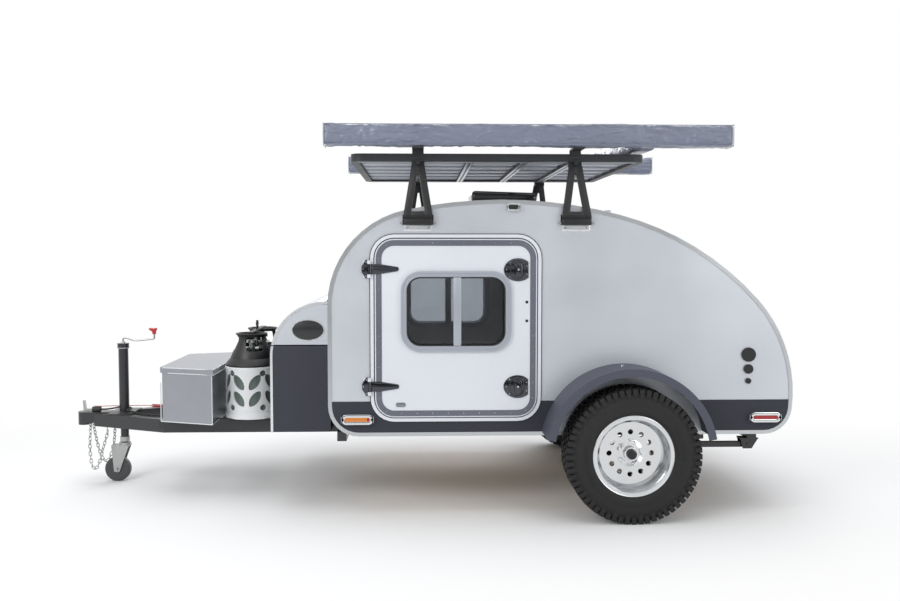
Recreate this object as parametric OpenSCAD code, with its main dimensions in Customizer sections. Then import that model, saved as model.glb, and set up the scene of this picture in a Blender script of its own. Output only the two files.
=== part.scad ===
// Teardrop camping trailer on a square-tube chassis, with its tongue equipment, roof rack
// and awnings. Millimetres, +Z up, the hitch toward -X, the left side toward -Y. The origin is
// on the ground under the middle of the outline.

/* [Body] */
// Length of the body, which also scales its side outline
body_len = 2450; // [2300:10:2900]
// Width across the side walls
body_w = 1524; // [1400:4:1640]
// Height of the body's underside above the ground
body_z = 416; // [380:2:460]
// Thickness of a side wall
wall_t = 25; // [18:1:40]
// Thickness of the roof, front wall and hatch
roof_t = 30; // [20:1:45]
// Thickness of the floor
floor_t = 30; // [18:1:45]
// Width of the trim along the edge of a side wall
trim_w = 20; // [12:1:35]
// How far the edge trim stands off the side wall
trim_out = 4; // [2:0.5:8]
// Height of the dark band along the foot of a side wall
band_h = 183; // [120:1:240]
// Thickness of the dark band
band_t = 3; // [2:0.5:4]

/* [Doors] */
// Width of a door leaf
door_w = 843; // [600:1:900]
// Height of a door leaf
door_h = 929; // [750:1:960]
// Thickness of a door leaf
door_t = 40; // [30:1:55]
// Corner radius of a door leaf
door_r = 100; // [60:1:160]
// Gap between a door leaf and its frame
door_gap = 6; // [5:0.5:9]
// Distance from the body's front to the door leaf
door_x = 245; // [200:1:330]
// Distance from the body's underside to the door leaf
door_z = 101; // [60:1:140]
// Width of the door frame's flange
frame_w = 17; // [12:1:30]
// Thickness of the door frame's flange
frame_t = 8; // [5:0.5:12]
// Width of the window opening in a door
win_w = 509; // [300:1:560]
// Height of the window opening in a door
win_h = 354; // [250:1:420]
// Corner radius of the window opening
win_r = 70; // [40:1:100]
// Width of the window's frame
win_frame = 33; // [20:1:45]
// Height of the window's centre above the foot of the door
win_z = 553; // [480:1:600]
// How far a door opens, in degrees
door_swing = 110; // [90:1:120]

/* [Hatch] */
// Distance from the body's front to the galley hatch's hinge
hatch_x = 1473; // [1400:1:1490]
// Turn of the side outline at which the hatch ends, in degrees from the front wall
hatch_end = 176; // [165:1:180]

/* [Running gear] */
// Outside diameter of a tyre
tyre_d = 690; // [600:2:740]
// Width of a tyre
tyre_w = 205; // [165:1:235]
// Diameter of a rim's flange
rim_d = 416; // [360:1:440]
// Width between a rim's outer edges
rim_w = 164; // [140:1:180]
// Distance between the wheels' centre planes
track_w = 1770; // [1730:2:1840]
// Distance from the body's front to the wheels' centres
axle_x = 1560; // [1450:5:1650]
// Radius of a fender's outer sheet
fender_r = 434; // [400:1:470]
// How far a fender stands out from the side wall
fender_out = 238; // [220:1:260]

/* [Chassis] */
// Distance from the coupler's nose to the body's front
tongue = 1569; // [1450:1:1800]
// Width across the outside of the two main rails
rail_span = 508; // [440:2:600]
// Width of a rail
rail_w = 50; // [40:1:60]
// Height of a rail
rail_h = 76; // [60:1:90]
// Distance from the coupler's nose to the bend of the rails
bend_x = 574; // [520:1:640]
// Radius of the coupler's ball socket
socket_r = 25.8; // [24:0.1:30]

/* [Jack] */
// Distance from the coupler's nose to the jack
jack_x = 272; // [250:1:320]
// Outside radius of the jack's outer tube
jack_r = 28.5; // [25:0.5:32]
// Height of the jack's top above the ground
jack_top = 832; // [760:1:900]
// Radius of the caster wheel
caster_r = 75; // [60:1:80]
// Trail of the caster wheel
caster_trail = 43; // [35:1:50]

/* [Tongue equipment] */
// Length of the toolbox along the tongue
tool_len = 306; // [240:1:310]
// Half the width of the toolbox at its front
tool_front = 321; // [260:1:360]
// Half the width of the toolbox at its back
tool_back = 437; // [380:1:480]
// Height of the toolbox
tool_h = 312; // [250:1:360]
// Distance from the toolbox's back to the body's front
tool_x = 673; // [668:1:720]
// Radius of a gas cylinder's casing
gas_r = 152; // [130:1:160]
// Distance from the cylinders' centres to the body's front
gas_x = 498; // [490:1:510]
// Half the distance between the two cylinders
gas_y = 185; // [165:1:200]
// Length of the nose box in front of the body
nose_len = 319; // [280:1:330]
// Half the width of the nose box
nose_half = 635; // [550:1:680]
// Height of the nose box
nose_h = 699; // [640:1:720]
// Height of the nose box below its lid
nose_split = 463; // [420:1:500]

/* [Roof rack] */
// Length of the rack
rack_len = 1538; // [1300:1:1560]
// Width of the rack
rack_w = 1452; // [1300:2:1500]
// Height of the rack's deck above the ground
rack_z = 1888; // [1860:1:1960]
// Distance from the body's front to the rack
rack_x = 119; // [80:1:160]
// Length of an awning bag along the side
awning_len = 2090; // [1700:5:2200]
// Height of an awning bag
awning_h = 120; // [100:1:140]
// Depth of an awning bag
awning_d = 135; // [110:1:150]

/* [Hidden] */
$fn = 48;

// ---- Shared clearances and places ----
play = 0.4;      // radial play of a pin in its knuckle
clear = 6;       // free space round a piece that moves
rear_out = 30;   // how far the hatch handle stands out behind the body
half_w = body_w / 2;
inner_w = half_w - wall_t;
front = (tongue - body_len - rear_out) / 2;   // X of the body's front wall
nose_x = front - tongue;                      // X of the coupler's nose
wheel_x = front + axle_x;
wheel_r = tyre_d / 2;
wheel_y = track_w / 2;
rail_z = body_z - rail_h;

// ---- Side outline: tangent arcs, each [radius, sweep in degrees], from the front wall up ----
FRONT_CORNER = 160;
ARCS = [[512, 78], [2430, 26.5], [1510, 33], [745, 48.5], [148, 84]];
SAG = 1;   // how far a facet of the outline may lie inside its arc
function turned(i) = i == 0 ? 0 : turned(i - 1) + ARCS[i - 1][1];
function out_dir(t) = [-cos(t), sin(t)];
function raw_centre(i) = i == 0 ? [ARCS[0][0], 0]
    : raw_centre(i - 1) + (ARCS[i - 1][0] - ARCS[i][0]) * out_dir(turned(i));
outline_k = body_len / (raw_centre(3)[0] + ARCS[3][0]);
shoulder_z = ARCS[4][0] - raw_centre(4)[1];
function arc_r(i) = ARCS[i][0] * outline_k;
function arc_c(i) = [front, body_z] + (raw_centre(i) + [0, shoulder_z]) * outline_k;
corner_r = FRONT_CORNER * outline_k;
function arc_of(t) = len([for (i = [1:len(ARCS) - 1]) if (t >= turned(i)) i]);
// Point of the outline where it has turned by t, moved in by d; t below 0 is the front corner
function rim(t, d = 0) = t < 0
    ? [front + corner_r, body_z + corner_r] + (corner_r - d) * out_dir(t)
    : arc_c(arc_of(t)) + (arc_r(arc_of(t)) - d) * out_dir(t);
function facets(r, sweep) = ceil(sweep / (2 * acos(1 - SAG / r)));
BREAKS = [for (i = [0:len(ARCS) - 1]) let (n = facets(arc_r(i), ARCS[i][1]))
    for (k = [0:n - 1]) turned(i) + ARCS[i][1] * k / n];
function turns(t0, t1) =
    concat([t0], [for (b = BREAKS) if (b > t0 + 0.05 && b < t1 - 0.05) b], [t1]);
function corner_turns() = [for (k = [0:8]) -90 + 90 * k / 8 - 0.0001];
function run(t0, t1, d) = [for (t = turns(t0, t1)) rim(t, d)];
function corner_run(d) = [for (t = corner_turns()) rim(t, d)];
function flip(list) = [for (i = [len(list) - 1:-1:0]) list[i]];
function strip(t0, t1, d0, d1) = concat(run(t0, t1, d0), flip(run(t0, t1, d1)));
function outline(d = 0) = concat(corner_run(d), run(0, 270, d));
body_top = arc_c(1)[1] + arc_r(1);
hatch_turn = acos((arc_c(1)[0] - front - hatch_x) / arc_r(1));
hinge_out = 10;
hatch_axis = rim(hatch_turn, -hinge_out);

// ---- Doors ----
door_cx = front + door_x + door_w / 2;
door_cz = body_z + door_z + door_h / 2;
leaf_out = half_w + frame_t + 4;         // outer face of a door leaf
hinge_x = front + door_x - 25;
hinge_y = half_w + frame_t + 10;
HINGE_Z = [body_z + door_z + 162, body_z + door_z + 773];
win_cz = body_z + door_z + win_z;

// ---- Helpers ----
// Rounded rectangle as points, about its centre
function rounded(w, h, r, n = 7) = [for (q = [0:3]) for (i = [0:n])
    [(q == 0 || q == 3 ? 1 : -1) * (w / 2 - r) + r * cos(90 * (q + i / n)),
     (q < 2 ? 1 : -1) * (h / 2 - r) + r * sin(90 * (q + i / n))]];

// Extrudes an XZ outline across the left side, from y0 to y1 outboard of the middle
module outboard(y0, y1) {
    translate([0, -y0, 0]) rotate([90, 0, 0]) linear_extrude(y1 - y0) children();
}

// Extrudes an XZ outline across the middle, half on each side
module across(half) {
    outboard(-half, half) children();
}

// Draws on the left side and mirrored on the right
module both_sides() {
    children();
    mirror([0, 1, 0]) children();
}

module on_right() {
    mirror([0, 1, 0]) children();
}

// Box given by its low corner and high corner
module block(low, high) {
    translate(low) cube(high - low);
}

// Cylinder along Y from y0 to y1
module rod_y(x, z, y0, y1, r) {
    translate([x, y0, z]) rotate([-90, 0, 0]) cylinder(r = r, h = y1 - y0);
}

// ---- Chassis ----
tongue_tip = nose_x + 105;      // where the two rails meet behind the coupler
CROSS_X = [60, 1225, 1990, 2280];   // cross members, behind the body's front
CROSS_HALF = half_w - 120;
rear_rail = front + 2305;

module chassis_frame() {
    bend = nose_x + bend_x;
    out_y = rail_span / 2;
    tip_y = 42;
    skew = rail_w / cos(atan((out_y - tip_y) / (bend - tongue_tip)));
    color([0.13, 0.13, 0.14]) union() {
        both_sides() block([bend, -out_y, rail_z], [rear_rail, -out_y + rail_w, body_z]);
        both_sides() translate([0, 0, rail_z]) linear_extrude(rail_h) polygon([
            [bend, -out_y], [bend, -out_y + skew],
            [tongue_tip + (bend - tongue_tip) * (skew - tip_y) / (out_y - tip_y), 0],
            [tongue_tip, 0], [tongue_tip, -tip_y]]);
        for (x = CROSS_X)
            block([front + x - 25, -CROSS_HALF, body_z - 50], [front + x + 25, CROSS_HALF, body_z]);
        block([bend - 25, -out_y + 1, body_z - 50], [bend + 25, out_y - 1, body_z]);
        translate([jack_cx, 0, body_z]) difference() {
            translate([-70, -110, 0]) cube([140, 220, 8]);
            translate([0, 0, -1]) cylinder(r = jack_r, h = 10);
        }
    }
}

socket_x = nose_x + 38;
coupler_z = body_z - 70;
module coupler() {
    color([0.12, 0.12, 0.13]) difference() {
        union() {
            translate([socket_x, 0, coupler_z]) cylinder(r = 38, h = 76);
            block([socket_x, -38, coupler_z + 12], [tongue_tip - 1, 38, coupler_z + 76]);
            block([socket_x + 30, -38, body_z], [tongue_tip + 90, 38, body_z + 6]);
        }
        translate([socket_x, 0, coupler_z - 1]) cylinder(r = socket_r, h = 31);
        translate([socket_x, 0, coupler_z + 30]) sphere(r = socket_r);
    }
}

module coupler_latch() {
    z = coupler_z + 76;
    color([0.15, 0.15, 0.16]) union() {
        block([socket_x - 6, -10, z], [socket_x + 50, 10, z + 16]);
        outboard(-8, 8) polygon([[socket_x - 6, z + 10], [socket_x + 10, z + 10],
            [socket_x + 2, z + 66], [socket_x - 10, z + 66]]);
    }
}

// ---- Jack and caster ----
jack_cx = nose_x + jack_x;
jack_low = body_z - 40;
leg_r = jack_r - 5;
fork_top = 226;
leg_z = fork_top + 14;
caster_x = jack_cx - caster_trail;
module jack_tube() {
    color([0.14, 0.14, 0.15]) difference() {
        union() {
            translate([jack_cx, 0, jack_low]) cylinder(r = jack_r, h = jack_top - jack_low);
            translate([jack_cx, 0, jack_top - 24]) cylinder(r = jack_r + 5, h = 24);
        }
        translate([jack_cx, 0, jack_low - 1]) cylinder(r = leg_r + play, h = jack_top - jack_low - 24);
        translate([jack_cx, 0, jack_top - 30]) cylinder(r = 8 + play, h = 31);
    }
}

leg_free = 120;   // how far the leg can still rise inside the tube
module jack_leg() {
    color([0.15, 0.15, 0.16]) difference() {
        translate([jack_cx, 0, leg_z]) cylinder(r = leg_r, h = jack_top - 30 - leg_free - leg_z);
        translate([jack_cx, 0, leg_z - 1]) cylinder(r = 9 + play, h = 41);
    }
}

grip_cx = jack_cx + 185;   // centre of the crank's grip
module jack_crank() {
    color([0.35, 0.36, 0.38]) union() {
        translate([jack_cx, 0, jack_top - 26]) cylinder(r = 8, h = 56);
        block([jack_cx - 14, -9, jack_top + 24], [jack_cx + 60, 9, jack_top + 34]);
        outboard(-9, 9) polygon([[jack_cx + 60, jack_top + 24], [grip_cx - 20, jack_top + 44],
            [grip_cx + 14, jack_top + 44], [grip_cx + 14, jack_top + 54],
            [grip_cx - 24, jack_top + 54], [jack_cx + 60, jack_top + 34]]);
    }
    color([0.75, 0.08, 0.08])
        translate([grip_cx, 0, jack_top + 54]) cylinder(r1 = 13, r2 = 15, h = 36);
}

module caster_fork() {
    color([0.66, 0.67, 0.68]) union() {
        translate([jack_cx, 0, leg_z - 4]) cylinder(r = 9, h = 40);
        translate([jack_cx, 0, fork_top - 6]) cylinder(r = 34, h = 16);
        block([caster_x - 30, -32, fork_top - 12], [jack_cx + 30, 32, fork_top - 6]);
        for (side = [-1, 1]) translate([0, side * 29, 0]) outboard(-3, 3) polygon([
            [caster_x - 30, fork_top - 6], [jack_cx + 30, fork_top - 6],
            [caster_x + 16, caster_r - 14], [caster_x - 16, caster_r - 14]]);
        rod_y(caster_x, caster_r, -38, 38, 7);
    }
}

module caster_wheel() {
    color([0.25, 0.25, 0.26]) rotate_about_y(caster_x, 0, caster_r) rotate_extrude() polygon([
        [7 + play, -24], [20, -24], [24, -20], [caster_r - 8, -20], [caster_r, -14],
        [caster_r, 14], [caster_r - 8, 20], [24, 20], [20, 24], [7 + play, 24]]);
}

// Turns a solid made about Z so that its axis lies along Y, through (x, y, z)
module rotate_about_y(x, y, z) {
    translate([x, y, z]) rotate([90, 0, 0]) children();
}

// ---- Toolbox ----
tool_back_x = front - tool_x;
tool_wall = 4;
tool_base = body_z;
lid_h = 32;
lid_t = 3;
tool_top = tool_base + tool_h - lid_t - clear;   // rim of the box under its lid
tool_front_x = tool_back_x - tool_len;
tool_axis = [tool_front_x - clear - lid_t - 2, tool_base + tool_h - lid_h];
// Plan of the box, moved out by d
function tool_plan(d) = let (s = (tool_back - tool_front) / tool_len, k = d * sqrt(1 + s * s))
    [[tool_back_x - tool_len - d, -tool_front - k + s * d], [tool_back_x + d, -tool_back - k - s * d],
     [tool_back_x + d, tool_back + k + s * d], [tool_back_x - tool_len - d, tool_front + k - s * d]];

module toolbox() {
    color([0.74, 0.75, 0.76]) union() {
        difference() {
            translate([0, 0, tool_base]) linear_extrude(tool_top - tool_base) polygon(tool_plan(0));
            translate([0, 0, tool_base + tool_wall])
                linear_extrude(tool_h) polygon(tool_plan(-tool_wall));
        }
        // Hinge pin in front of the box, on two ears
        rod_y(tool_axis[0], tool_axis[1], -tool_front + 60, tool_front - 60, 4);
        for (y = [-tool_front + 52, tool_front - 60])
            block([tool_axis[0] - 5, y, tool_axis[1] - 8],
                [tool_front_x + 1, y + 8, tool_axis[1] + 5]);
    }
}

module toolbox_lid() {
    z = tool_base + tool_h;
    color([0.8, 0.81, 0.82]) difference() {
        union() {
            translate([0, 0, z - lid_t]) linear_extrude(lid_t) polygon(tool_plan(clear + lid_t));
            difference() {
                translate([0, 0, z - lid_h]) linear_extrude(lid_h) polygon(tool_plan(clear + lid_t));
                translate([0, 0, z - lid_h - 1]) linear_extrude(lid_h + 2) polygon(tool_plan(clear));
            }
            for (y = [-tool_front + 100, tool_front - 160]) {
                rod_y(tool_axis[0], tool_axis[1], y, y + 60, 8);
                block([tool_axis[0] - 3, y, tool_axis[1]],
                    [tool_axis[0] + 3.5, y + 60, tool_axis[1] + 12]);
            }
        }
        rod_y(tool_axis[0], tool_axis[1], -tool_back, tool_back, 4 + play);
        for (y = [-tool_front + 46, tool_front - 66])
            block([tool_axis[0] - 12, y, tool_axis[1] - 14],
                [tool_front_x - 1, y + 20, tool_axis[1] + 11]);
    }
}

// ---- Gas cylinders ----
gas_cx = front - gas_x;
casing_h = 296;
gas_base = body_z + 10;
collar_z = gas_base + 340;
collar_h = 142;
module cylinder_tray() {
    color([0.12, 0.12, 0.12]) union() {
        block([gas_cx - 110, -gas_y - 120, body_z], [gas_cx + 110, gas_y + 120, gas_base]);
        translate([gas_cx, 0, gas_base]) cylinder(r = 7, h = 968 - gas_base);
        block([gas_cx - 14, -gas_y - 40, collar_z + collar_h],
            [gas_cx + 14, gas_y + 40, collar_z + collar_h + 8]);
        block([gas_cx - 4, -28, 940], [gas_cx + 4, 28, 956]);
    }
}

module gas_cylinders() {
    vessel_r = gas_r - 10;
    color([0.33, 0.38, 0.35]) for (side = [-1, 1]) translate([gas_cx, side * gas_y, gas_base]) union() {
        cylinder(r = vessel_r - 25, h = 12);
        translate([0, 0, 12]) cylinder(r = vessel_r, h = 250);
        translate([0, 0, 262]) rotate_extrude() polygon([[0, 0], [vessel_r, 0],
            for (a = [15:15:75]) [vessel_r * cos(a), 85 * sin(a)], [0, 85]]);
        translate([0, 0, 340]) cylinder(r = 22, h = 60);
    }
}

module cylinder_casings() {
    // Open sleeves with slanted windows
    color([0.9, 0.91, 0.92]) for (side = [-1, 1]) translate([gas_cx, side * gas_y, gas_base])
        difference() {
            cylinder(r = gas_r, h = casing_h);
            translate([0, 0, -1]) cylinder(r = gas_r - 5, h = casing_h + 2);
        }
}

module cylinder_collars() {
    color([0.08, 0.08, 0.09]) for (side = [-1, 1]) translate([gas_cx, side * gas_y, collar_z])
        difference() {
            union() {
                translate([0, 0, -10]) cylinder(r1 = 94, r2 = 88, h = 20);
                cylinder(r1 = 88, r2 = 116, h = collar_h - 16);
                translate([0, 0, collar_h - 16]) cylinder(r = 122, h = 16);
            }
            translate([0, 0, -11]) cylinder(r = 84, h = 60);
            translate([0, 0, 10]) cylinder(r1 = 84, r2 = 112, h = collar_h);
            translate([-200, -45, 40]) cube([400, 90, 60]);
        }
}

// ---- Nose box ----
nose_r = 293;
nose_t = 12;
nose_gap = clear;
nose_axis = [front - 12, body_z + nose_h + 4];
// Side profile of the box moved in by d, without its back
function nose_side(d) = concat([[front, body_z + d]], [[front - nose_len + d, body_z + d]],
    [for (a = [0:6:90]) [front - nose_len + nose_r - (nose_r - d) * cos(a),
        body_z + nose_h - nose_r + (nose_r - d) * sin(a)]], [[front, body_z + nose_h - d]]);

module nose_part(z0, z1, back) {
    difference() {
        intersection() {
            across(nose_half) polygon(nose_side(0));
            block([front - 500, -nose_half - 1, z0], [front - back, nose_half + 1, z1]);
        }
        intersection() {
            across(nose_half - nose_t) polygon(nose_side(nose_t));
            block([front - 500, -nose_half, body_z + nose_t], [front + 1, nose_half, 2000]);
        }
    }
}

module nose_box() {
    color([0.2, 0.21, 0.22]) union() {
        nose_part(body_z, body_z + nose_split, 0);
        // Hinge pin with a saddle at each end and in the middle
        rod_y(nose_axis[0], nose_axis[1], -nose_half + 20, nose_half - 20, 5);
        for (y = [-nose_half + 20, -15, nose_half - 50])
            block([nose_axis[0] - 4, y, nose_axis[1] - 26], [front, y + 30, nose_axis[1] + 4]);
    }
}

module nose_box_lid() {
    color([0.86, 0.87, 0.88]) difference() {
        union() {
            nose_part(body_z + nose_split + nose_gap, body_z + nose_h + 10, nose_gap);
            for (side = [-1, 1]) rod_y(nose_axis[0], nose_axis[1],
                side * nose_half / 2 - 60, side * nose_half / 2 + 60, 9);
        }
        rod_y(nose_axis[0], nose_axis[1], -nose_half - 1, nose_half + 1, 5 + play);
        block([front - 16, -nose_half - 1, nose_axis[1] - 22],
            [front + 1, nose_half + 1, nose_axis[1] - 9]);
        for (y = [-nose_half - 1, -30, nose_half - 65])
            block([nose_axis[0] - 20, y, nose_axis[1] - 20], [front + 1, y + 66, nose_axis[1] + 20]);
    }
}

// ---- Body shell ----
module side_wall() {
    color([0.84, 0.85, 0.86]) difference() {
        outboard(inner_w, half_w) polygon(outline());
        outboard(inner_w - 1, half_w + 1) translate([door_cx, door_cz])
            polygon(rounded(door_w + 2 * door_gap + 8, door_h + 2 * door_gap + 8,
                door_r + door_gap + 4));
    }
}

module roof_shell() {
    color([0.86, 0.87, 0.88]) difference() {
        union() {
            across(inner_w) polygon(concat(corner_run(0), run(0, hatch_turn, 0),
                flip(run(0, hatch_turn, roof_t)), flip(corner_run(roof_t))));
            across(inner_w) polygon(strip(hatch_end, 270, 0, roof_t));
            // Hinge pin of the hatch, on saddles
            rod_y(hatch_axis[0], hatch_axis[1], -inner_w + 10, inner_w - 10, 5);
            for (y = [-inner_w + 10, -15, inner_w - 40])
                block([hatch_axis[0] - 22, y, hatch_axis[1] - 16],
                    [hatch_axis[0] - 3, y + 30, hatch_axis[1] + 4]);
        }
        translate([vent_cx, 0, body_top - 100]) linear_extrude(200)
            polygon(rounded(vent_w - 60, vent_w - 60, 20));
    }
}

module cabin_floor() {
    low = front + corner_r + 0.5;
    high = rim(270)[0] - 0.5;
    color([0.5, 0.42, 0.32]) block([low, -inner_w, body_z], [high, inner_w, body_z + floor_t]);
}

bulk_x = front + hatch_x - 34;
bulk_t = 18;
counter_z = 705;
module galley_cabinet() {
    color([0.72, 0.58, 0.4]) union() {
        intersection() {
            across(inner_w - 1) polygon(outline(roof_t + 1));
            union() {
                block([bulk_x, -inner_w, body_z + floor_t], [bulk_x + bulk_t, inner_w, 2000]);
                block([bulk_x, -inner_w, counter_z - 22],
                    [front + body_len - roof_t - 60, inner_w, counter_z]);
            }
        }
        // Shelf unit on the bulkhead
        for (z = [1130, 1370])
            block([bulk_x + bulk_t - 1, -inner_w + 4, z], [bulk_x + 210, inner_w - 4, z + 15]);
        for (y = [-inner_w + 4, -8, inner_w - 19])
            block([bulk_x + bulk_t - 1, y, 1130], [bulk_x + 210, y + 15, 1385]);
        // Front of the lower cupboard
        block([front + 2180, -inner_w + 4, body_z + floor_t], [front + 2198, inner_w - 4, counter_z - 21]);
    }
}

module mattress() {
    color([0.75, 0.74, 0.7]) translate([(front + corner_r + 4 + bulk_x - 10) / 2, 0, body_z + floor_t])
        linear_extrude(100) polygon(rounded(bulk_x - front - corner_r - 14, 2 * inner_w - 60, 60));
}

grip_x = front + body_len + rear_out;
module galley_hatch() {
    half = inner_w - clear;
    gap_turn = clear / arc_r(1) * 180 / PI;
    end_turn = hatch_end - clear / arc_r(3) * 180 / PI;
    edge = rim(end_turn - 6);
    color([0.86, 0.87, 0.88]) difference() {
        union() {
            across(half) polygon(strip(hatch_turn + gap_turn, end_turn, 0, roof_t));
            both_sides() outboard(half - 20, half)
                polygon(strip(hatch_turn + gap_turn + 2, end_turn - 1, roof_t - 1, roof_t + 34));
            for (side = [-1, 1]) {
                rod_y(hatch_axis[0], hatch_axis[1], side * 360 - 90, side * 360 + 90, 9);
                block([hatch_axis[0], side * 360 - 90, hatch_axis[1] - 14],
                    [hatch_axis[0] + 34, side * 360 + 90, hatch_axis[1] - 4]);
            }
            // Grab handle
            for (y = [-90, 76])
                block([edge[0] - 12, y, edge[1] - 12], [grip_x, y + 14, edge[1] + 6]);
            block([grip_x - 12, -90, edge[1] - 12], [grip_x, 90, edge[1] + 6]);
        }
        rod_y(hatch_axis[0], hatch_axis[1], -inner_w, inner_w, 5 + play);
    }
}

module edge_trims() {
    color([0.8, 0.81, 0.82]) both_sides() outboard(half_w, half_w + trim_out) difference() {
        polygon(outline());
        polygon(outline(trim_w));
    }
}

module lower_bands() {
    color([0.22, 0.23, 0.25]) both_sides() difference() {
        intersection() {
            outboard(half_w, half_w + band_t) polygon(outline(trim_w));
            block([front, -half_w - 10, body_z], [front + body_len, 0, body_z + band_h]);
        }
        outboard(half_w - 1, half_w + band_t + 1) translate([door_cx, door_cz])
            polygon(rounded(frame_outer_w, frame_outer_h, frame_outer_r));
        rod_y(fender_cx, fender_cz, -half_w - 20, -half_w + 1, fender_r);
    }
}

// ---- Doors ----
frame_outer_w = door_w + 2 * (door_gap + frame_w);
frame_outer_h = door_h + 2 * (door_gap + frame_w);
frame_outer_r = door_r + door_gap + frame_w;
module door_frames() {
    color([0.8, 0.81, 0.82]) both_sides() union() {
        translate([door_cx, 0, door_cz]) difference() {
            union() {
                outboard(half_w, half_w + frame_t)
                    polygon(rounded(frame_outer_w, frame_outer_h, frame_outer_r));
                outboard(inner_w, half_w + 1) polygon(rounded(door_w + 2 * door_gap + 8,
                    door_h + 2 * door_gap + 8, door_r + door_gap + 4));
            }
            outboard(inner_w - 1, half_w + frame_t + 1)
                polygon(rounded(door_w + 2 * door_gap, door_h + 2 * door_gap, door_r + door_gap));
        }
        // Fixed hinge leaves with their pins
        for (z = HINGE_Z) {
            block([hinge_x - 34, -half_w - frame_t - 6, z - 45], [hinge_x - 9, -half_w, z + 45]);
            translate([hinge_x, -hinge_y, z - 45]) cylinder(r = 5, h = 90);
            for (dz = [-45, 27]) block([hinge_x - 12, -hinge_y - 5, z + dz],
                [hinge_x + 5, -hinge_y + 5, z + dz + 18]);
        }
    }
}

module door_leaf() {
    color([0.85, 0.86, 0.87]) translate([door_cx, 0, 0]) difference() {
        outboard(leaf_out - door_t, leaf_out) translate([0, door_cz])
            polygon(rounded(door_w, door_h, door_r));
        outboard(leaf_out - door_t - 1, leaf_out + 1) translate([0, win_cz])
            polygon(rounded(win_w + 4, win_h + 4, win_r + 2));
    }
}

module window_frame() {
    color([0.1, 0.1, 0.11]) translate([door_cx, 0, win_cz]) union() {
        difference() {
            union() {
                outboard(leaf_out, leaf_out + 12)
                    polygon(rounded(win_w + 2 * win_frame, win_h + 2 * win_frame, win_r + win_frame));
                outboard(leaf_out - door_t - 8, leaf_out + 1)
                    polygon(rounded(win_w + 4, win_h + 4, win_r + 2));
                outboard(leaf_out - door_t - 8, leaf_out - door_t)
                    polygon(rounded(win_w + 2 * win_frame, win_h + 2 * win_frame, win_r + win_frame));
            }
            outboard(leaf_out - door_t - 9, leaf_out + 13) polygon(rounded(win_w, win_h, win_r));
        }
        outboard(leaf_out - 20, leaf_out + 8) translate([7, 0]) square([40, win_h + 2], center = true);
    }
}

module window_glass() {
    color([0.25, 0.28, 0.3, 0.6]) translate([door_cx, 0, win_cz])
        outboard(leaf_out - 25, leaf_out - 20) polygon(rounded(win_w, win_h, win_r));
}

strap_len = 147;
module door_hardware() {
    color([0.1, 0.1, 0.11]) union() {
        for (z = HINGE_Z) {
            difference() {
                translate([hinge_x, -hinge_y, z - 26]) cylinder(r = 9, h = 52);
                translate([hinge_x, -hinge_y, z - 27]) cylinder(r = 5 + play, h = 54);
            }
            outboard(leaf_out, leaf_out + 7) polygon([[hinge_x + 6, z - 26], [hinge_x + 40, z - 26],
                [hinge_x + strap_len, z - 12], [hinge_x + strap_len, z + 12], [hinge_x + 40, z + 26],
                [hinge_x + 6, z + 26]]);
        }
        for (z = LATCH_Z) outboard(leaf_out, leaf_out + 16) difference() {
            translate([latch_cx, z]) polygon(rounded(130, 121, 34));
            translate([door_cx, win_cz]) polygon(rounded(win_w + 2 * win_frame + 3,
                win_h + 2 * win_frame + 3, win_r + win_frame + 1.5));
        }
    }
}
latch_cx = front + door_x + door_w - 108;
LATCH_Z = [body_z + door_z + 159, body_z + door_z + 769];

// ---- Running gear ----
axle_tube_x = wheel_x - 150;
spindle_r = 17;
module axle() {
    tube = 60;
    arm_y = wheel_y - 128;
    spindle_y = wheel_y + 14;
    color([0.1, 0.1, 0.1]) union() {
        block([axle_tube_x - tube / 2, -arm_y, rail_z - tube], [axle_tube_x + tube / 2, arm_y, rail_z]);
        for (side = [-1, 1]) {
            translate([0, side * arm_y, 0]) outboard(-12, 12) polygon([
                [axle_tube_x - 28, rail_z - tube / 2 - 22], [axle_tube_x - 28, rail_z - tube / 2 + 22],
                [wheel_x + 10, wheel_r + 32], [wheel_x + 34, wheel_r], [wheel_x + 10, wheel_r - 32]]);
        }
        both_sides() rod_y(wheel_x, wheel_r, -spindle_y, -arm_y, spindle_r);
        both_sides() block([axle_tube_x - 60, -rail_span / 2, rail_z - 8],
            [axle_tube_x + 60, -rail_span / 2 + rail_w, rail_z]);
    }
}

DISC_IN = -2;    // outer face of the disc, outboard of the wheel's centre plane
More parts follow.
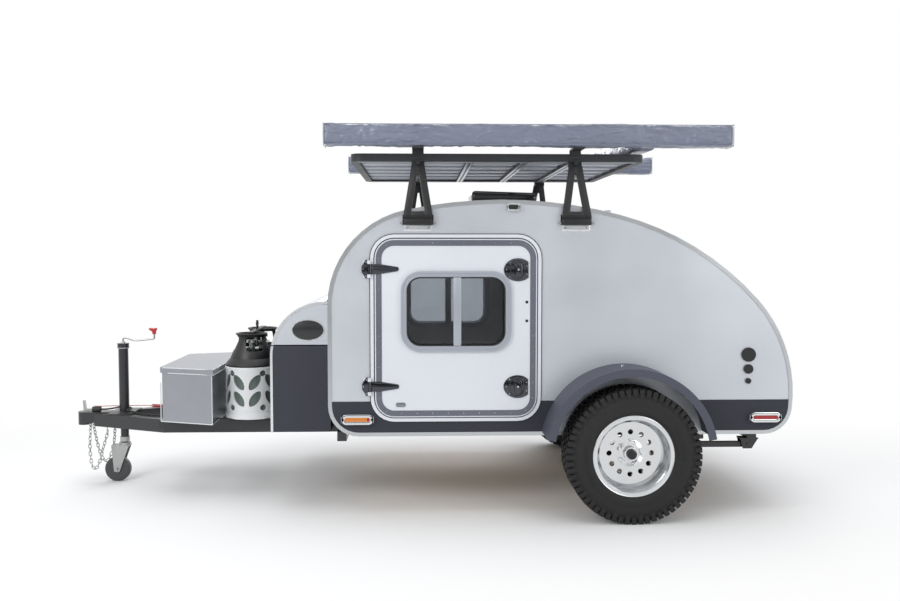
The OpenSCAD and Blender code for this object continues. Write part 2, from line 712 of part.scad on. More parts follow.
// A wheel about Z, its outer face toward +Z
module wheel_rim() {
    well_r = rim_d / 2 - 42;
    color([0.8, 0.81, 0.82]) difference() {
        union() {
            rotate_extrude() polygon([
                [rim_d / 2 - 20, -rim_w / 2], [rim_d / 2, -rim_w / 2], [rim_d / 2, -rim_w / 2 + 12],
                [rim_d / 2 - 14, -rim_w / 2 + 16], [rim_d / 2 - 14, -rim_w / 2 + 40], [well_r + 6, -20],
                [well_r + 6, 30], [rim_d / 2 - 14, rim_w / 2 - 34], [rim_d / 2 - 14, rim_w / 2 - 16],
                [rim_d / 2, rim_w / 2 - 12], [rim_d / 2, rim_w / 2], [rim_d / 2 - 20, rim_w / 2],
                [rim_d / 2 - 22, rim_w / 2 - 30], [well_r, 24], [well_r, DISC_IN],
                [70, DISC_IN - 4], [50, DISC_IN + 4], [spindle_r + play, DISC_IN + 4],
                [spindle_r + play, DISC_IN - 12], [well_r, DISC_IN - 12],
                [well_r, -26], [rim_d / 2 - 22, -rim_w / 2 + 44]]);
            // Centre cap, lug nuts
            translate([0, 0, 20]) cylinder(r = 24, h = 22);
            translate([0, 0, DISC_IN + 3]) difference() {
                cylinder(r = 34, h = 22);
                translate([0, 0, -1]) cylinder(r = spindle_r + play + 4, h = 20);
            }
            for (k = [0:4]) rotate([0, 0, 72 * k + 18]) translate([57.15, 0, DISC_IN - 1])
                cylinder(r = 10, h = 20);
            // Brake drum
            translate([0, 0, DISC_IN - 72]) difference() {
                cylinder(r = 127, h = 60.5);
                translate([0, 0, -1]) cylinder(r = 120, h = 51);
                cylinder(r = spindle_r + play, h = 80);
            }
        }
        for (k = [0:11]) rotate([0, 0, 30 * k]) translate([110, 0, -60]) cylinder(r = 13.5, h = 80);
    }
}

module tyre() {
    r = wheel_r;
    seat = rim_d / 2 - 13;
    color([0.12, 0.12, 0.12]) rotate_extrude() polygon([
        [seat, -rim_w / 2 + 17], [rim_d / 2 + 1, -rim_w / 2 + 13], [rim_d / 2 + 6, -rim_w / 2 - 2],
        [r - 78, -tyre_w / 2], [r - 40, -tyre_w / 2 + 2], [r - 14, -tyre_w / 2 + 10],
        [r - 2, -tyre_w / 2 + 24], [r, -40], [r, 40], [r - 2, tyre_w / 2 - 24],
        [r - 14, tyre_w / 2 - 10], [r - 40, tyre_w / 2 - 2], [r - 78, tyre_w / 2],
        [rim_d / 2 + 6, rim_w / 2 + 2], [rim_d / 2 + 1, rim_w / 2 - 13], [seat, rim_w / 2 - 17],
        [seat, rim_w / 2 - 32], [rim_d / 2 + 8, rim_w / 2 - 12], [r - 78, tyre_w / 2 - 12],
        [r - 40, tyre_w / 2 - 14], [r - 20, tyre_w / 2 - 30], [r - 18, -tyre_w / 2 + 30],
        [r - 40, -tyre_w / 2 + 14], [r - 78, -tyre_w / 2 + 12], [rim_d / 2 + 8, -rim_w / 2 + 12],
        [seat, -rim_w / 2 + 32]]);
}

// Puts a wheel made about Z at the left axle end, its outer face outboard
module at_left_wheel() {
    rotate_about_y(wheel_x, -wheel_y, wheel_r) children();
}

fender_cx = wheel_x - 15;
fender_cz = 360;
fender_t = 5;
module fenders() {
    lip = 40;
    start = asin((body_z + trim_w + 1 - fender_cz) / fender_r);
    color([0.16, 0.16, 0.17]) both_sides() translate([fender_cx, -half_w, fender_cz])
        rotate([90, 0, 0]) rotate([0, 0, start]) rotate_extrude(angle = 180 - 2 * start, $fn = 72)
            polygon([[fender_r, 0], [fender_r, fender_out], [fender_r - lip, fender_out],
                [fender_r - lip, fender_out - fender_t], [fender_r - fender_t, fender_out - fender_t],
                [fender_r - fender_t, 0]]);
}

// ---- Stabilisers ----
stab_y = 600;
stab_x = front + 2262;
stab_z = body_z - 50 - 36;
stab_len = 330;
module stabiliser_mounts() {
    color([0.15, 0.15, 0.16]) both_sides() union() {
        for (dy = [-30, 24]) translate([0, -stab_y - dy, 0]) outboard(0, 6) polygon([
            [stab_x - 40, body_z - 50], [stab_x + 60, body_z - 50], [stab_x + 24, stab_z - 22],
            [stab_x - 24, stab_z - 22]]);
        block([stab_x - 40, -stab_y - 30, body_z - 56], [stab_x + 60, -stab_y + 30, body_z - 50]);
        rod_y(stab_x, stab_z, -stab_y - 34, -stab_y + 34, 7);
    }
}

module stabiliser_leg() {
    color([0.16, 0.16, 0.17]) translate([0, -stab_y, 0]) difference() {
        union() {
            rod_y(stab_x, stab_z, -18, 18, 18);
            block([stab_x - stab_len, -16, stab_z - 16], [stab_x, 16, stab_z + 12]);
            block([stab_x - stab_len - 6, -42, stab_z - 36], [stab_x - stab_len, 42, stab_z + 20]);
        }
        rod_y(stab_x, stab_z, -30, 30, 7 + play);
    }
}

// ---- Roof rack ----
rack_front = front + rack_x;
rail_sec = 40;
BAR_X = [rack_x + 351, rack_x + 626, rack_x + 916, rack_x + 1171];
PLANKS = 6;
plank_w = 185;
module roof_rack() {
    r = 60;
    low = rack_z - rail_sec;
    mid = rack_front + rack_len / 2;
    inner = rack_w / 2 - rail_sec;
    color([0.1, 0.1, 0.11]) union() {
        translate([mid, 0, low]) linear_extrude(rail_sec) difference() {
            polygon(rounded(rack_len, rack_w, r));
            polygon(rounded(rack_len - 2 * rail_sec, rack_w - 2 * rail_sec, r - rail_sec));
        }
        for (x = BAR_X) block([front + x - 20, -inner - 1, low], [front + x + 20, inner + 1, low + 20]);
        for (k = [1:PLANKS]) let (y = -inner + 2 * inner * (k - 0.5) / PLANKS)
            block([rack_front + rail_sec - 1, y - plank_w / 2, low + 19],
                [rack_front + rack_len - rail_sec + 1, y + plank_w / 2, rack_z - 2]);
        // Brackets under the bags
        both_sides() for (x = TOWER_X) {
            block([front + x - 30, -bag_y - 40, rack_z + 16],
                [front + x + 30, -rack_w / 2 + 4, rack_z + 22]);
            block([front + x - 30, -rack_w / 2, rack_z - 1],
                [front + x + 30, -rack_w / 2 + 6, rack_z + 22]);
        }
        for (y = [-400, 340]) block([rack_front + rack_len - 30, y, rack_z - 1],
            [rack_front + rack_len, y + 60, rack_z + 22]);
    }
}

TOWER_X = [BAR_X[0], BAR_X[3]];
tower_foot = 1556;
lean = 12.4;
module rack_towers() {
    top = rack_z - rail_sec;
    tall = (top - tower_foot) / cos(lean);
    color([0.08, 0.08, 0.09]) both_sides() for (x = TOWER_X) translate([front + x, 0, 0]) union() {
        block([-80, -half_w - 8, tower_foot - 38], [80, -half_w, tower_foot + 14]);
        block([-70, -half_w - 34, tower_foot - 8], [70, -half_w - 7, tower_foot + 14]);
        translate([0, -half_w - 28, tower_foot]) rotate([-lean, 0, 0]) rotate([90, 0, 0])
            linear_extrude(16, center = true) difference() {
                polygon([[-77, 0], [77, 0], [30, tall - 2], [-30, tall - 2]]);
                polygon([[-50, 24], [50, 24], [20, tall - 50], [-20, tall - 50]]);
            }
        block([-32, -rack_w / 2 - 6, top - 26], [32, -rack_w / 2 + rail_sec, top]);
    }
}

// ---- Awnings ----
bag_z = rack_z + 22 + awning_h / 2;
bag_y = rack_w / 2 + 18 + awning_d / 2;
rear_bag = rack_w - 60;   // length of the bag across the rack's rear end
module awning_bags() {
    color([0.36, 0.4, 0.46]) {
        both_sides() translate([front - 10, -bag_y, bag_z]) rotate([90, 0, 90])
            linear_extrude(awning_len) polygon(rounded(awning_d, awning_h, 45));
    }
    color([0.36, 0.4, 0.46]) translate([rack_front + rack_len, rear_bag / 2, bag_z])
        rotate([90, 0, 0]) linear_extrude(rear_bag) polygon(rounded(awning_d, awning_h, 45));
}

// ---- Roof vent ----
vent_cx = front + 964;
vent_w = 367;
vent_axis = [vent_cx + vent_w / 2 + 8, body_top + 22];
module roof_vent() {
    color([0.15, 0.15, 0.16]) union() {
        difference() {
            translate([vent_cx, 0, body_top - 40]) linear_extrude(58)
                polygon(rounded(vent_w - 40, vent_w - 40, 20));
            translate([vent_cx, 0, body_top - 60]) linear_extrude(100)
                polygon(rounded(vent_w - 80, vent_w - 80, 16));
            across(vent_w) polygon(outline(-0.2));
        }
        rod_y(vent_axis[0], vent_axis[1], -120, 120, 4);
        for (y = [-120, 106]) block([vent_cx + vent_w / 2 - 22, y, body_top + 2],
            [vent_axis[0] + 4, y + 14, vent_axis[1] + 4]);
    }
}

module vent_lid() {
    z0 = body_top + 26;
    color([0.1, 0.1, 0.11]) difference() {
        union() {
            translate([vent_cx, 0, z0]) linear_extrude(24) polygon(rounded(vent_w, vent_w, 40));
            translate([vent_cx, 0, z0 + 23]) linear_extrude(20)
                polygon(rounded(vent_w - 50, vent_w - 50, 40));
            translate([vent_cx, 0, z0 + 42]) linear_extrude(16)
                polygon(rounded(vent_w - 130, vent_w - 130, 40));
            for (y = [-70, 10]) {
                rod_y(vent_axis[0], vent_axis[1], y, y + 60, 8);
                block([vent_axis[0] - 14, y, vent_axis[1] + 4],
                    [vent_axis[0] + 5, y + 60, vent_axis[1] + 12]);
            }
        }
        translate([vent_cx, 0, z0 - 1]) linear_extrude(30)
            polygon(rounded(vent_w - 60, vent_w - 60, 30));
        rod_y(vent_axis[0], vent_axis[1], -200, 200, 4 + play);
        for (y = [-130, 96])
            block([vent_cx + vent_w / 2 - 30, y, z0 - 30], [vent_axis[0] + 20, y + 34, z0 + 9]);
    }
}

// ---- Lamps and ports ----
LAMP_Z = body_z + 92;
module oval(w, h) {
    polygon(rounded(w, h, h / 2 - 0.5, 8));
}

module amber_lamps() {
    color([0.95, 0.5, 0.08]) both_sides() translate([front + 153, 0, LAMP_Z])
        outboard(half_w + band_t, half_w + band_t + 22) oval(156, 46);
}

module red_lamps() {
    color([0.75, 0.05, 0.05]) {
        both_sides() translate([front + body_len - 151, 0, LAMP_Z])
            outboard(half_w + band_t, half_w + band_t + 22) oval(156, 46);
        both_sides() difference() {
            translate([front + body_len - 30, -inner_w + 110, body_z + 150])
                rotate([90, 0, 90]) linear_extrude(48) oval(150, 60);
            across(body_w) polygon(outline(-0.2));
        }
    }
}

module porch_lamps() {
    color([0.92, 0.93, 0.94]) both_sides() translate([front + 962, 0, body_z + 1194])
        outboard(half_w + trim_out, half_w + trim_out + 18) oval(64, 36);
}

PORTS = [[422, 37.5], [346, 25], [283, 15]];   // height above the body's underside, radius
module side_ports() {
    color([0.07, 0.07, 0.07]) both_sides() for (p = PORTS)
        rod_y(front + body_len - 240, body_z + p[0], -half_w - 9, -half_w, p[1]);
}

// ---- Cords: points chosen by hand, relative to the coupler's nose and the ground ----
CHAIN = [[78, -28, 357.4], [78, -28, 344], [78, -28, 330], [84, -60, 225], [100, -86, 130],
    [124, -96, 98], [150, -100, 130], [174, -96, 220], [190, -68, 300], [190, -68, 320],
    [190, -68, 339.4]];
CABLE = [[589.7, -150, 424], [560, -150, 423], [500, -146, 422], [440, -128, 422], [390, -104, 425],
    [350, -80, 431], [318, -62, 434], [299, -40, 436], [314, -8, 437], [302, 28, 438], [272, 42, 440],
    [240, 28, 443], [229, 0, 445], [226, -26, 446], [204, -38, 444], [180, -28, 440],
    [160, -24, 438.3], [140.3, -24, 438.3]];
BREAK_WIRE = [[89, 8, 452], [120, 20, 449], [170, 44, 446], [230, 64, 444], [300, 70, 443],
    [360, 72, 443], [400, 72, 443]];
BREAK_COIL = [[400, 72, 443], [440, 73, 440], [480, 74, 438], [530, 75, 437]];
BREAK_END = [[530, 75, 437], [560, 76, 434], [589.7, 76, 432]];

function unit(v) = v / norm(v);
function sweep_dir(p, i) = unit(p[min(i + 1, len(p) - 1)] - p[max(i - 1, 0)]);
function aside(d) = unit(cross(d, abs(d[2]) > 0.9 ? [1, 0, 0] : [0, 0, 1]));
function round_dir(d, a) = cos(a) * aside(d) + sin(a) * cross(d, aside(d));
function ring(p, i, r, sides) =
    [for (k = [0:sides - 1]) p[i] + r * round_dir(sweep_dir(p, i), 360 * k / sides)];
// Smooth points along a route, n to each stretch
function bend_pt(a, b, c, d, t) = 0.5 * (2 * b + (c - a) * t
    + (2 * a - 5 * b + 4 * c - d) * t * t + (3 * b - a - 3 * c + d) * t * t * t);
function smooth(p, n) = let (last = len(p) - 1) concat(
    [for (i = [0:last - 1]) for (k = [0:n - 1])
        bend_pt(p[max(i - 1, 0)], p[i], p[i + 1], p[min(i + 2, last)], k / n)],
    [p[last]]);

module cord(route, r, sides, n) {
    p = smooth(route, n);
    rings = len(p);
    polyhedron(points = [for (i = [0:rings - 1]) each ring(p, i, r, sides)],
        faces = concat([[for (k = [0:sides - 1]) k]],
            [for (i = [0:rings - 2]) for (k = [0:sides - 1]) let (a = i * sides, b = (k + 1) % sides)
                [a + k, a + sides + k, a + sides + b, a + b]],
            [[for (k = [sides - 1:-1:0]) (rings - 1) * sides + k]]));
}

module safety_chains() {
    color([0.7, 0.71, 0.72]) both_sides() translate([nose_x, 0, 0]) cord(CHAIN, 9, 8, 5);
}

module wiring_cable() {
    color([0.06, 0.06, 0.06]) translate([nose_x, 0, 0]) cord(CABLE, 5, 8, 6);
}

module cable_plug() {
    end = CABLE[len(CABLE) - 1];
    color([0.06, 0.06, 0.06]) translate([nose_x, 0, 0]) translate(end)
        rotate([0, -90, 0]) cylinder(r = 16, h = 48);
}

module breakaway_cable() {
    color([0.7, 0.08, 0.08]) translate([nose_x, 0, 0]) {
        cord(BREAK_WIRE, 2, 8, 4);
        cord(BREAK_COIL, 11, 8, 3);
        cord(BREAK_END, 2, 8, 3);
    }
}

chassis_frame();
coupler();
coupler_latch();
jack_tube();
jack_leg();
jack_crank();
caster_fork();
caster_wheel();
toolbox();
toolbox_lid();
cylinder_tray();
gas_cylinders();
cylinder_casings();
cylinder_collars();
nose_box();
nose_box_lid();
side_wall();  // side_wall_left
on_right() side_wall();  // side_wall_right
roof_shell();
cabin_floor();
galley_cabinet();
mattress();
galley_hatch();
door_frames();
door_leaf();  // door_left
on_right() door_leaf();  // door_right
window_frame();  // window_frame_left
on_right() window_frame();  // window_frame_right
window_glass();  // window_glass_left
on_right() window_glass();  // window_glass_right
door_hardware();  // door_hardware_left
on_right() door_hardware();  // door_hardware_right
lower_bands();
edge_trims();
axle();
at_left_wheel() wheel_rim();  // wheel_left
on_right() at_left_wheel() wheel_rim();  // wheel_right
at_left_wheel() tyre();  // tyre_left
on_right() at_left_wheel() tyre();  // tyre_right
fenders();
stabiliser_mounts();
stabiliser_leg();  // stabiliser_leg_left
on_right() stabiliser_leg();  // stabiliser_leg_right
roof_rack();
rack_towers();
awning_bags();
roof_vent();
vent_lid();
amber_lamps();
red_lamps();
porch_lamps();
side_ports();
safety_chains();
wiring_cable();
cable_plug();
breakaway_cable();
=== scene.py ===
# %% [markdown]
# # A teardrop camping trailer
# This script dresses a finished mechanical model. Every wall, hinge and wheel is already in
# place and keeps its size; each cell adds a finish or a small piece, and says what the real
# one is, how it could be made and why this way was chosen.

# %% The frame and its box
import math

import bmesh
import bpy
from mathutils import Matrix, Vector, noise


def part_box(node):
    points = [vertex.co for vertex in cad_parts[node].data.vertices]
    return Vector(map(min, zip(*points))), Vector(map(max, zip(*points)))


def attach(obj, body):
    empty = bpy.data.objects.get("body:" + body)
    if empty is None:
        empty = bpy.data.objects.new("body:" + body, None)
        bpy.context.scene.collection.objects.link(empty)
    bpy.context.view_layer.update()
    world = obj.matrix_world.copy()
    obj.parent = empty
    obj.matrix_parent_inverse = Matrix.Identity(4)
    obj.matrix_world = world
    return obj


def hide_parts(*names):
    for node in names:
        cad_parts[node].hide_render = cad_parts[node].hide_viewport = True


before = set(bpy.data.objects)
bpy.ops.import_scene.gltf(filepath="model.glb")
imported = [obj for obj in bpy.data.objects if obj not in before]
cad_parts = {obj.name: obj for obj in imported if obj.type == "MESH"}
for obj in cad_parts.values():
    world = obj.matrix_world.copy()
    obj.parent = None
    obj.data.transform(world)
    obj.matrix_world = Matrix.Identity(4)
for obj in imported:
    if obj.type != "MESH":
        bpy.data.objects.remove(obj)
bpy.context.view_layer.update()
MM = 0.001

# %% [markdown]
# ## Camera
# The trailer is seen square from the left, from the height of a standing person. A long lens
# flattens a vehicle and a short one swells it; this one is near the middle, so the far awning
# shows below the near one.

# %% Camera
scene = bpy.context.scene
camera = bpy.data.objects.new("camera", bpy.data.cameras.new("camera"))
scene.collection.objects.link(camera)
camera.location = (0.024, -5.457, 1.389)
camera.rotation_euler = (math.radians(90 - 3.2), 0, math.radians(-1.9))
camera.data.sensor_width = 36
camera.data.lens = 36.2
scene.camera = camera
scene.view_settings.view_transform = "Standard"
print("camera height:", camera.location.z)

# %% [markdown]
# ## Small tools
# A node tree is easier to read when one function adds any node, sets it and wires it. Colours
# are written as hex, as a paint chart gives them, and turned to linear light once. Meshes are
# made in bmesh and handed to one function, which smooths gentle edges, keeps sharp ones and
# fixes the piece to the body that it rides on.

# %% Colour, node and mesh helpers
def linear(code):
    channels = [int(code[i:i + 2], 16) / 255 for i in (1, 3, 5)]
    return [c / 12.92 if c <= 0.04045 else ((c + 0.055) / 1.055) ** 2.4 for c in channels] + [1]


def node(tree, kind, links=None, **settings):
    made = tree.nodes.new(kind)
    for key, value in settings.items():
        setattr(made, key, value)
    for socket, value in (links or {}).items():
        if isinstance(value, bpy.types.NodeSocket):
            tree.links.new(value, made.inputs[socket])
        else:
            made.inputs[socket].default_value = value
    return made


def near(point):
    return Vector(point) * MM


def mesh_piece(name, bm, material, body, stands_for=(), angle=35, merge=0.00002):
    bmesh.ops.remove_doubles(bm, verts=bm.verts, dist=merge)
    bmesh.ops.recalc_face_normals(bm, faces=bm.faces)
    limit = math.radians(angle)
    for edge in bm.edges:
        edge.smooth = len(edge.link_faces) == 2 and edge.calc_face_angle(0) < limit
    for face in bm.faces:
        face.smooth = True
    mesh = bpy.data.meshes.new(name)
    bm.to_mesh(mesh)
    bm.free()
    made = bpy.data.objects.new(name, mesh)
    scene.collection.objects.link(made)
    made.data.materials.append(material)
    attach(made, body)
    if stands_for:
        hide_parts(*stands_for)
    return made


def add_box(bm, low, high, bevel=0.0, segments=2):
    low, high = near(low), near(high)
    made = bmesh.ops.create_cube(bm, size=1)
    size = high - low
    bmesh.ops.scale(bm, vec=size, verts=made["verts"])
    bmesh.ops.translate(bm, vec=(low + high) / 2, verts=made["verts"])
    if bevel:
        edges = {e for v in made["verts"] for e in v.link_edges}
        bmesh.ops.bevel(bm, geom=list(edges), offset=bevel * MM, affect="EDGES",
                        segments=segments, profile=0.5, material=-1)


def add_rod(bm, start, end, radius, sides=24, tip=None):
    a, b = near(start), near(end)
    turn = (b - a).to_track_quat("Z", "Y").to_matrix().to_4x4()
    bmesh.ops.create_cone(bm, cap_ends=True, segments=sides, radius1=radius * MM,
                          radius2=(radius if tip is None else tip) * MM,
                          depth=(b - a).length,
                          matrix=Matrix.Translation((a + b) / 2) @ turn)


def tube(name, points, radius, material, body, stands_for=(), cyclic=False):
    data = bpy.data.curves.new(name, "CURVE")
    data.dimensions = "3D"
    data.bevel_depth = radius * MM
    data.bevel_resolution = 4
    data.use_fill_caps = True
    line = data.splines.new("POLY")
    line.points.add(len(points) - 1)
    for spot, place in zip(line.points, points):
        spot.co = (*near(place), 1)
    line.use_cyclic_u = cyclic
    line.use_smooth = True
    made = bpy.data.objects.new(name, data)
    scene.collection.objects.link(made)
    data.materials.append(material)
    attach(made, body)
    if stands_for:
        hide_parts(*stands_for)
    return made


def smooth(points, steps):
    line = []
    last = len(points) - 1
    for i in range(last):
        a, b, c, d = (Vector(points[max(0, min(last, i + k))]) for k in (-1, 0, 1, 2))
        for k in range(steps):
            t = k / steps
            line.append(0.5 * (2 * b + (c - a) * t + (2 * a - 5 * b + 4 * c - d) * t ** 2
                               + (3 * b - a - 3 * c + d) * t ** 3))
    return line + [Vector(points[last])]


def length(points):
    return sum((b - a).length for a, b in zip(points, points[1:])) * MM

# %% [markdown]
# ## A finish is a colour, a sheen and a grain
# Real paint, metal and plastic are never one flat colour: the spray leaves orange peel, a brush
# leaves hair lines, and hands leave a slightly duller patch here and there. One recipe holds
# them all, a fine grain of a real size in millimetres and a slow drift across the panel. Each
# finish below only says its numbers, so they can be compared side by side.

# %% The finish recipe
def finish(name, colour, rough, metal=0.0, coat=0.0, grain=2.0, relief=0.02, drift=0.05,
           stretch=(1, 1, 1), wear=0.05, transmission=0.0):
    material = bpy.data.materials.new(name)
    material.use_nodes = True
    tree = material.node_tree
    tree.nodes.clear()
    place = node(tree, "ShaderNodeTexCoord").outputs["Object"]
    fine_scale = [s * 1000 / grain for s in stretch]
    fine_place = node(tree, "ShaderNodeMapping", {"Vector": place, "Scale": fine_scale})
    fine = node(tree, "ShaderNodeTexNoise", {"Vector": fine_place.outputs[0], "Scale": 1.0,
                                             "Detail": 2.0, "Roughness": 0.6})
    slow = node(tree, "ShaderNodeTexNoise", {"Vector": place, "Scale": 3.2, "Detail": 3.0})
    both = node(tree, "ShaderNodeMath", {0: fine.outputs["Fac"], 1: slow.outputs["Fac"]},
                operation="ADD")
    level = node(tree, "ShaderNodeMapRange", {"Value": both.outputs[0], "From Min": 0.6,
                                              "From Max": 1.4, "To Min": 1 - drift,
                                              "To Max": 1 + drift})
    tint = node(tree, "ShaderNodeVectorMath", {0: linear(colour)[:3],
                                               "Scale": level.outputs[0]}, operation="SCALE")
    sheen = node(tree, "ShaderNodeMapRange", {"Value": slow.outputs["Fac"], "From Min": 0.3,
                                              "From Max": 0.7, "To Min": rough - wear / 2,
                                              "To Max": rough + wear})
    bump = node(tree, "ShaderNodeBump", {"Height": fine.outputs["Fac"], "Strength": 1.0,
                                         "Distance": relief * MM})
    shader = node(tree, "ShaderNodeBsdfPrincipled", {
        "Base Color": tint.outputs[0], "Roughness": sheen.outputs[0], "Metallic": metal,
        "Coat Weight": coat, "Coat Roughness": 0.12, "Transmission Weight": transmission,
        "Normal": bump.outputs[0]})
    node(tree, "ShaderNodeOutputMaterial", {"Surface": shader.outputs[0]})
    return material


# name: colour, rough, metal, coat, grain in mm, relief in mm, drift, stretch along X Y Z
FINISHES = {
    # mill-finished aluminium skins under a clear film: a soft, almost white satin
    "satin_aluminium_skin": ("#CDD1D8", 0.36, 0.55, 0.0, 3.0, 0.004, 0.03, (0.1, 1, 1)),
    # powder-coated door sheet, a touch whiter and less metallic than the walls
    "white_door_sheet": ("#DEE1E8", 0.40, 0.15, 0.0, 2.5, 0.006, 0.02, (1, 1, 1)),
    # extruded aluminium trims keep the hair lines of the die along their length
    "extruded_aluminium": ("#C6C9CC", 0.30, 1.0, 0.0, 2.0, 0.01, 0.05, (0.1, 1, 1)),
    # brushed sheet of the toolbox, its lines running up and down
    "brushed_aluminium": ("#A6A9AF", 0.34, 1.0, 0.0, 2.5, 0.02, 0.08, (1, 1, 0.04)),
    # machined and polished cast wheel
    "machined_alloy": ("#D2D4D6", 0.20, 1.0, 0.0, 3.0, 0.01, 0.05, (1, 1, 1)),
    # bright plating on the crank, bezels and caps
    "chrome_plate": ("#D9DBDD", 0.07, 1.0, 0.0, 4.0, 0.002, 0.02, (1, 1, 1)),
    # electroplated zinc on fork, collar, chain and latch
    "zinc_plate": ("#B4B6B5", 0.38, 1.0, 0.0, 6.0, 0.01, 0.10, (1, 1, 1)),
    # rubberised protective coat with a coarse sprayed grain
    "sprayed_rock_guard": ("#2B2D37", 0.70, 0.0, 0.0, 4.0, 0.45, 0.14, (1, 1, 1)),
    "nose_rock_guard": ("#30323B", 0.68, 0.0, 0.0, 4.0, 0.40, 0.12, (1, 1, 1)),
    # semi-gloss chassis enamel over square tube
    "chassis_enamel": ("#2A2B2E", 0.34, 0.0, 0.25, 3.0, 0.04, 0.10, (1, 1, 1)),
    "jack_enamel": ("#232427", 0.30, 0.0, 0.30, 3.0, 0.03, 0.10, (1, 1, 1)),
    # fender powder coat, fine and dull
    "fender_powder": ("#474A57", 0.52, 0.0, 0.0, 1.8, 0.10, 0.08, (1, 1, 1)),
    # powder-coated rack extrusions
    "rack_powder": ("#303236", 0.48, 0.0, 0.0, 1.6, 0.06, 0.08, (0.3, 1, 1)),
    "tower_powder": ("#1B1C1E", 0.42, 0.0, 0.0, 1.6, 0.06, 0.08, (1, 1, 1)),
    # moulded parts
    "black_moulding": ("#17181A", 0.42, 0.0, 0.0, 1.2, 0.03, 0.10, (1, 1, 1)),
    "smoked_acrylic": ("#1A1C1F", 0.14, 0.0, 0.4, 3.0, 0.002, 0.05, (1, 1, 1)),
    "black_chrome": ("#26272A", 0.16, 0.9, 0.2, 3.0, 0.004, 0.06, (1, 1, 1)),
    # anodised window extrusions, dulled by their oxide layer
    "light_window_frame": ("#AEB3BD", 0.36, 0.5, 0.0, 2.0, 0.01, 0.04, (1, 1, 1)),
    # natural rubber with carbon black
    "tyre_rubber": ("#1D1D1E", 0.78, 0.0, 0.0, 1.5, 0.06, 0.16, (1, 1, 1)),
    "caster_grey": ("#4A4B4D", 0.45, 0.3, 0.0, 3.0, 0.05, 0.12, (1, 1, 1)),
    "casing_white": ("#E6E8EA", 0.42, 0.0, 0.1, 2.0, 0.02, 0.03, (1, 1, 1)),
    "vessel_fibre": ("#5C6862", 0.35, 0.0, 0.3, 5.0, 0.05, 0.14, (1, 1, 3)),
    "red_handle": ("#B5161A", 0.35, 0.0, 0.2, 2.0, 0.02, 0.06, (1, 1, 1)),
    "cable_jacket": ("#101112", 0.48, 0.0, 0.0, 1.5, 0.02, 0.10, (1, 1, 1)),
    # plain filling, hidden once the stuffed covers stand in for it
    "plain_filling": ("#C3A678", 0.55, 0.0, 0.0, 3.0, 0.03, 0.16, (0.08, 1, 1)),
    "birch_plywood": ("#B99868", 0.45, 0.0, 0.2, 6.0, 0.05, 0.18, (1, 0.05, 1)),
}
FINISH = {name: finish(name, c, r, m, k, g, d, v, s)
          for name, (c, r, m, k, g, d, v, s) in FINISHES.items()}
print("finishes:", len(FINISH))

# %% [markdown]
# ## Lenses and glass
# A lamp lens is tinted acrylic over a bright reflector, so it glows a little deeper than paint.
# Window glass here is clear acrylic with a faint grey in it: the cabin behind is dark, and the
# studio lies over it. Both are one shader with transmission, and their own colour does the work.

# %% Lenses and glass
def lens(name, colour, rough, transmission, ior=1.49):
    material = finish(name, colour, rough, coat=0.5, grain=9.0, relief=0.01, drift=0.08,
                      transmission=transmission, wear=0.02)
    shader = material.node_tree.nodes["Principled BSDF"]
    shader.inputs["IOR"].default_value = ior
    return material


FINISH["amber_lens"] = lens("amber_lens", "#F08A17", 0.12, 0.25)
FINISH["red_lens"] = lens("red_lens", "#B5121B", 0.12, 0.25)
FINISH["clear_lens"] = lens("clear_lens", "#E8EAEC", 0.10, 0.5)
FINISH["clean_glass"] = lens("clean_glass", "#BEC3C8", 0.02, 1.0)

# %% [markdown]
# ## Which node wears what
# The mechanical model names every piece. A plain table from node to finish covers the whole
# trailer before any detail is added, so nothing can be forgotten.

# %% Finishes on the mechanical pieces
WEARS = {
    "satin_aluminium_skin": ["side_wall_left", "side_wall_right", "roof_shell", "galley_hatch",
                             "nose_box_lid"],
    "white_door_sheet": ["door_left", "door_right", "door_frames"],
    "extruded_aluminium": ["edge_trims"],
    "brushed_aluminium": ["toolbox", "toolbox_lid"],
    "machined_alloy": ["wheel_left", "wheel_right"],
    "zinc_plate": ["coupler_latch", "caster_fork", "safety_chains"],
    "sprayed_rock_guard": ["lower_bands"],
    "nose_rock_guard": ["nose_box"],
    "chassis_enamel": ["chassis_frame", "coupler", "axle", "stabiliser_mounts",
                       "stabiliser_leg_left", "stabiliser_leg_right"],
    "jack_enamel": ["jack_tube", "jack_leg"],
    "fender_powder": ["fenders"],
    "rack_powder": ["roof_rack"],
    "tower_powder": ["rack_towers"],
    "black_moulding": ["cylinder_tray", "cylinder_collars", "side_ports", "roof_vent"],
    "smoked_acrylic": ["vent_lid"],
    "black_chrome": ["door_hardware_left", "door_hardware_right"],
    "light_window_frame": ["window_frame_left", "window_frame_right"],
    "tyre_rubber": ["tyre_left", "tyre_right"],
    "caster_grey": ["caster_wheel"],
    "casing_white": ["cylinder_casings"],
    "vessel_fibre": ["gas_cylinders"],
    "chrome_plate": ["jack_crank"],
    "cable_jacket": ["cable_plug", "wiring_cable"],
    "red_handle": ["breakaway_cable"],
    "birch_plywood": ["galley_cabinet", "cabin_floor"],
    "amber_lens": ["amber_lamps"],
    "red_lens": ["red_lamps"],
    "clear_lens": ["porch_lamps"],
    "clean_glass": ["window_glass_left", "window_glass_right"],
    "plain_filling": ["mattress", "awning_bags"],
}
for name, nodes in WEARS.items():
    for item in nodes:
        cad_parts[item].data.materials.clear()
        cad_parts[item].data.materials.append(FINISH[name])
bare = set(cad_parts) - {item for nodes in WEARS.values() for item in nodes}
print("nodes without a finish:", sorted(bare))

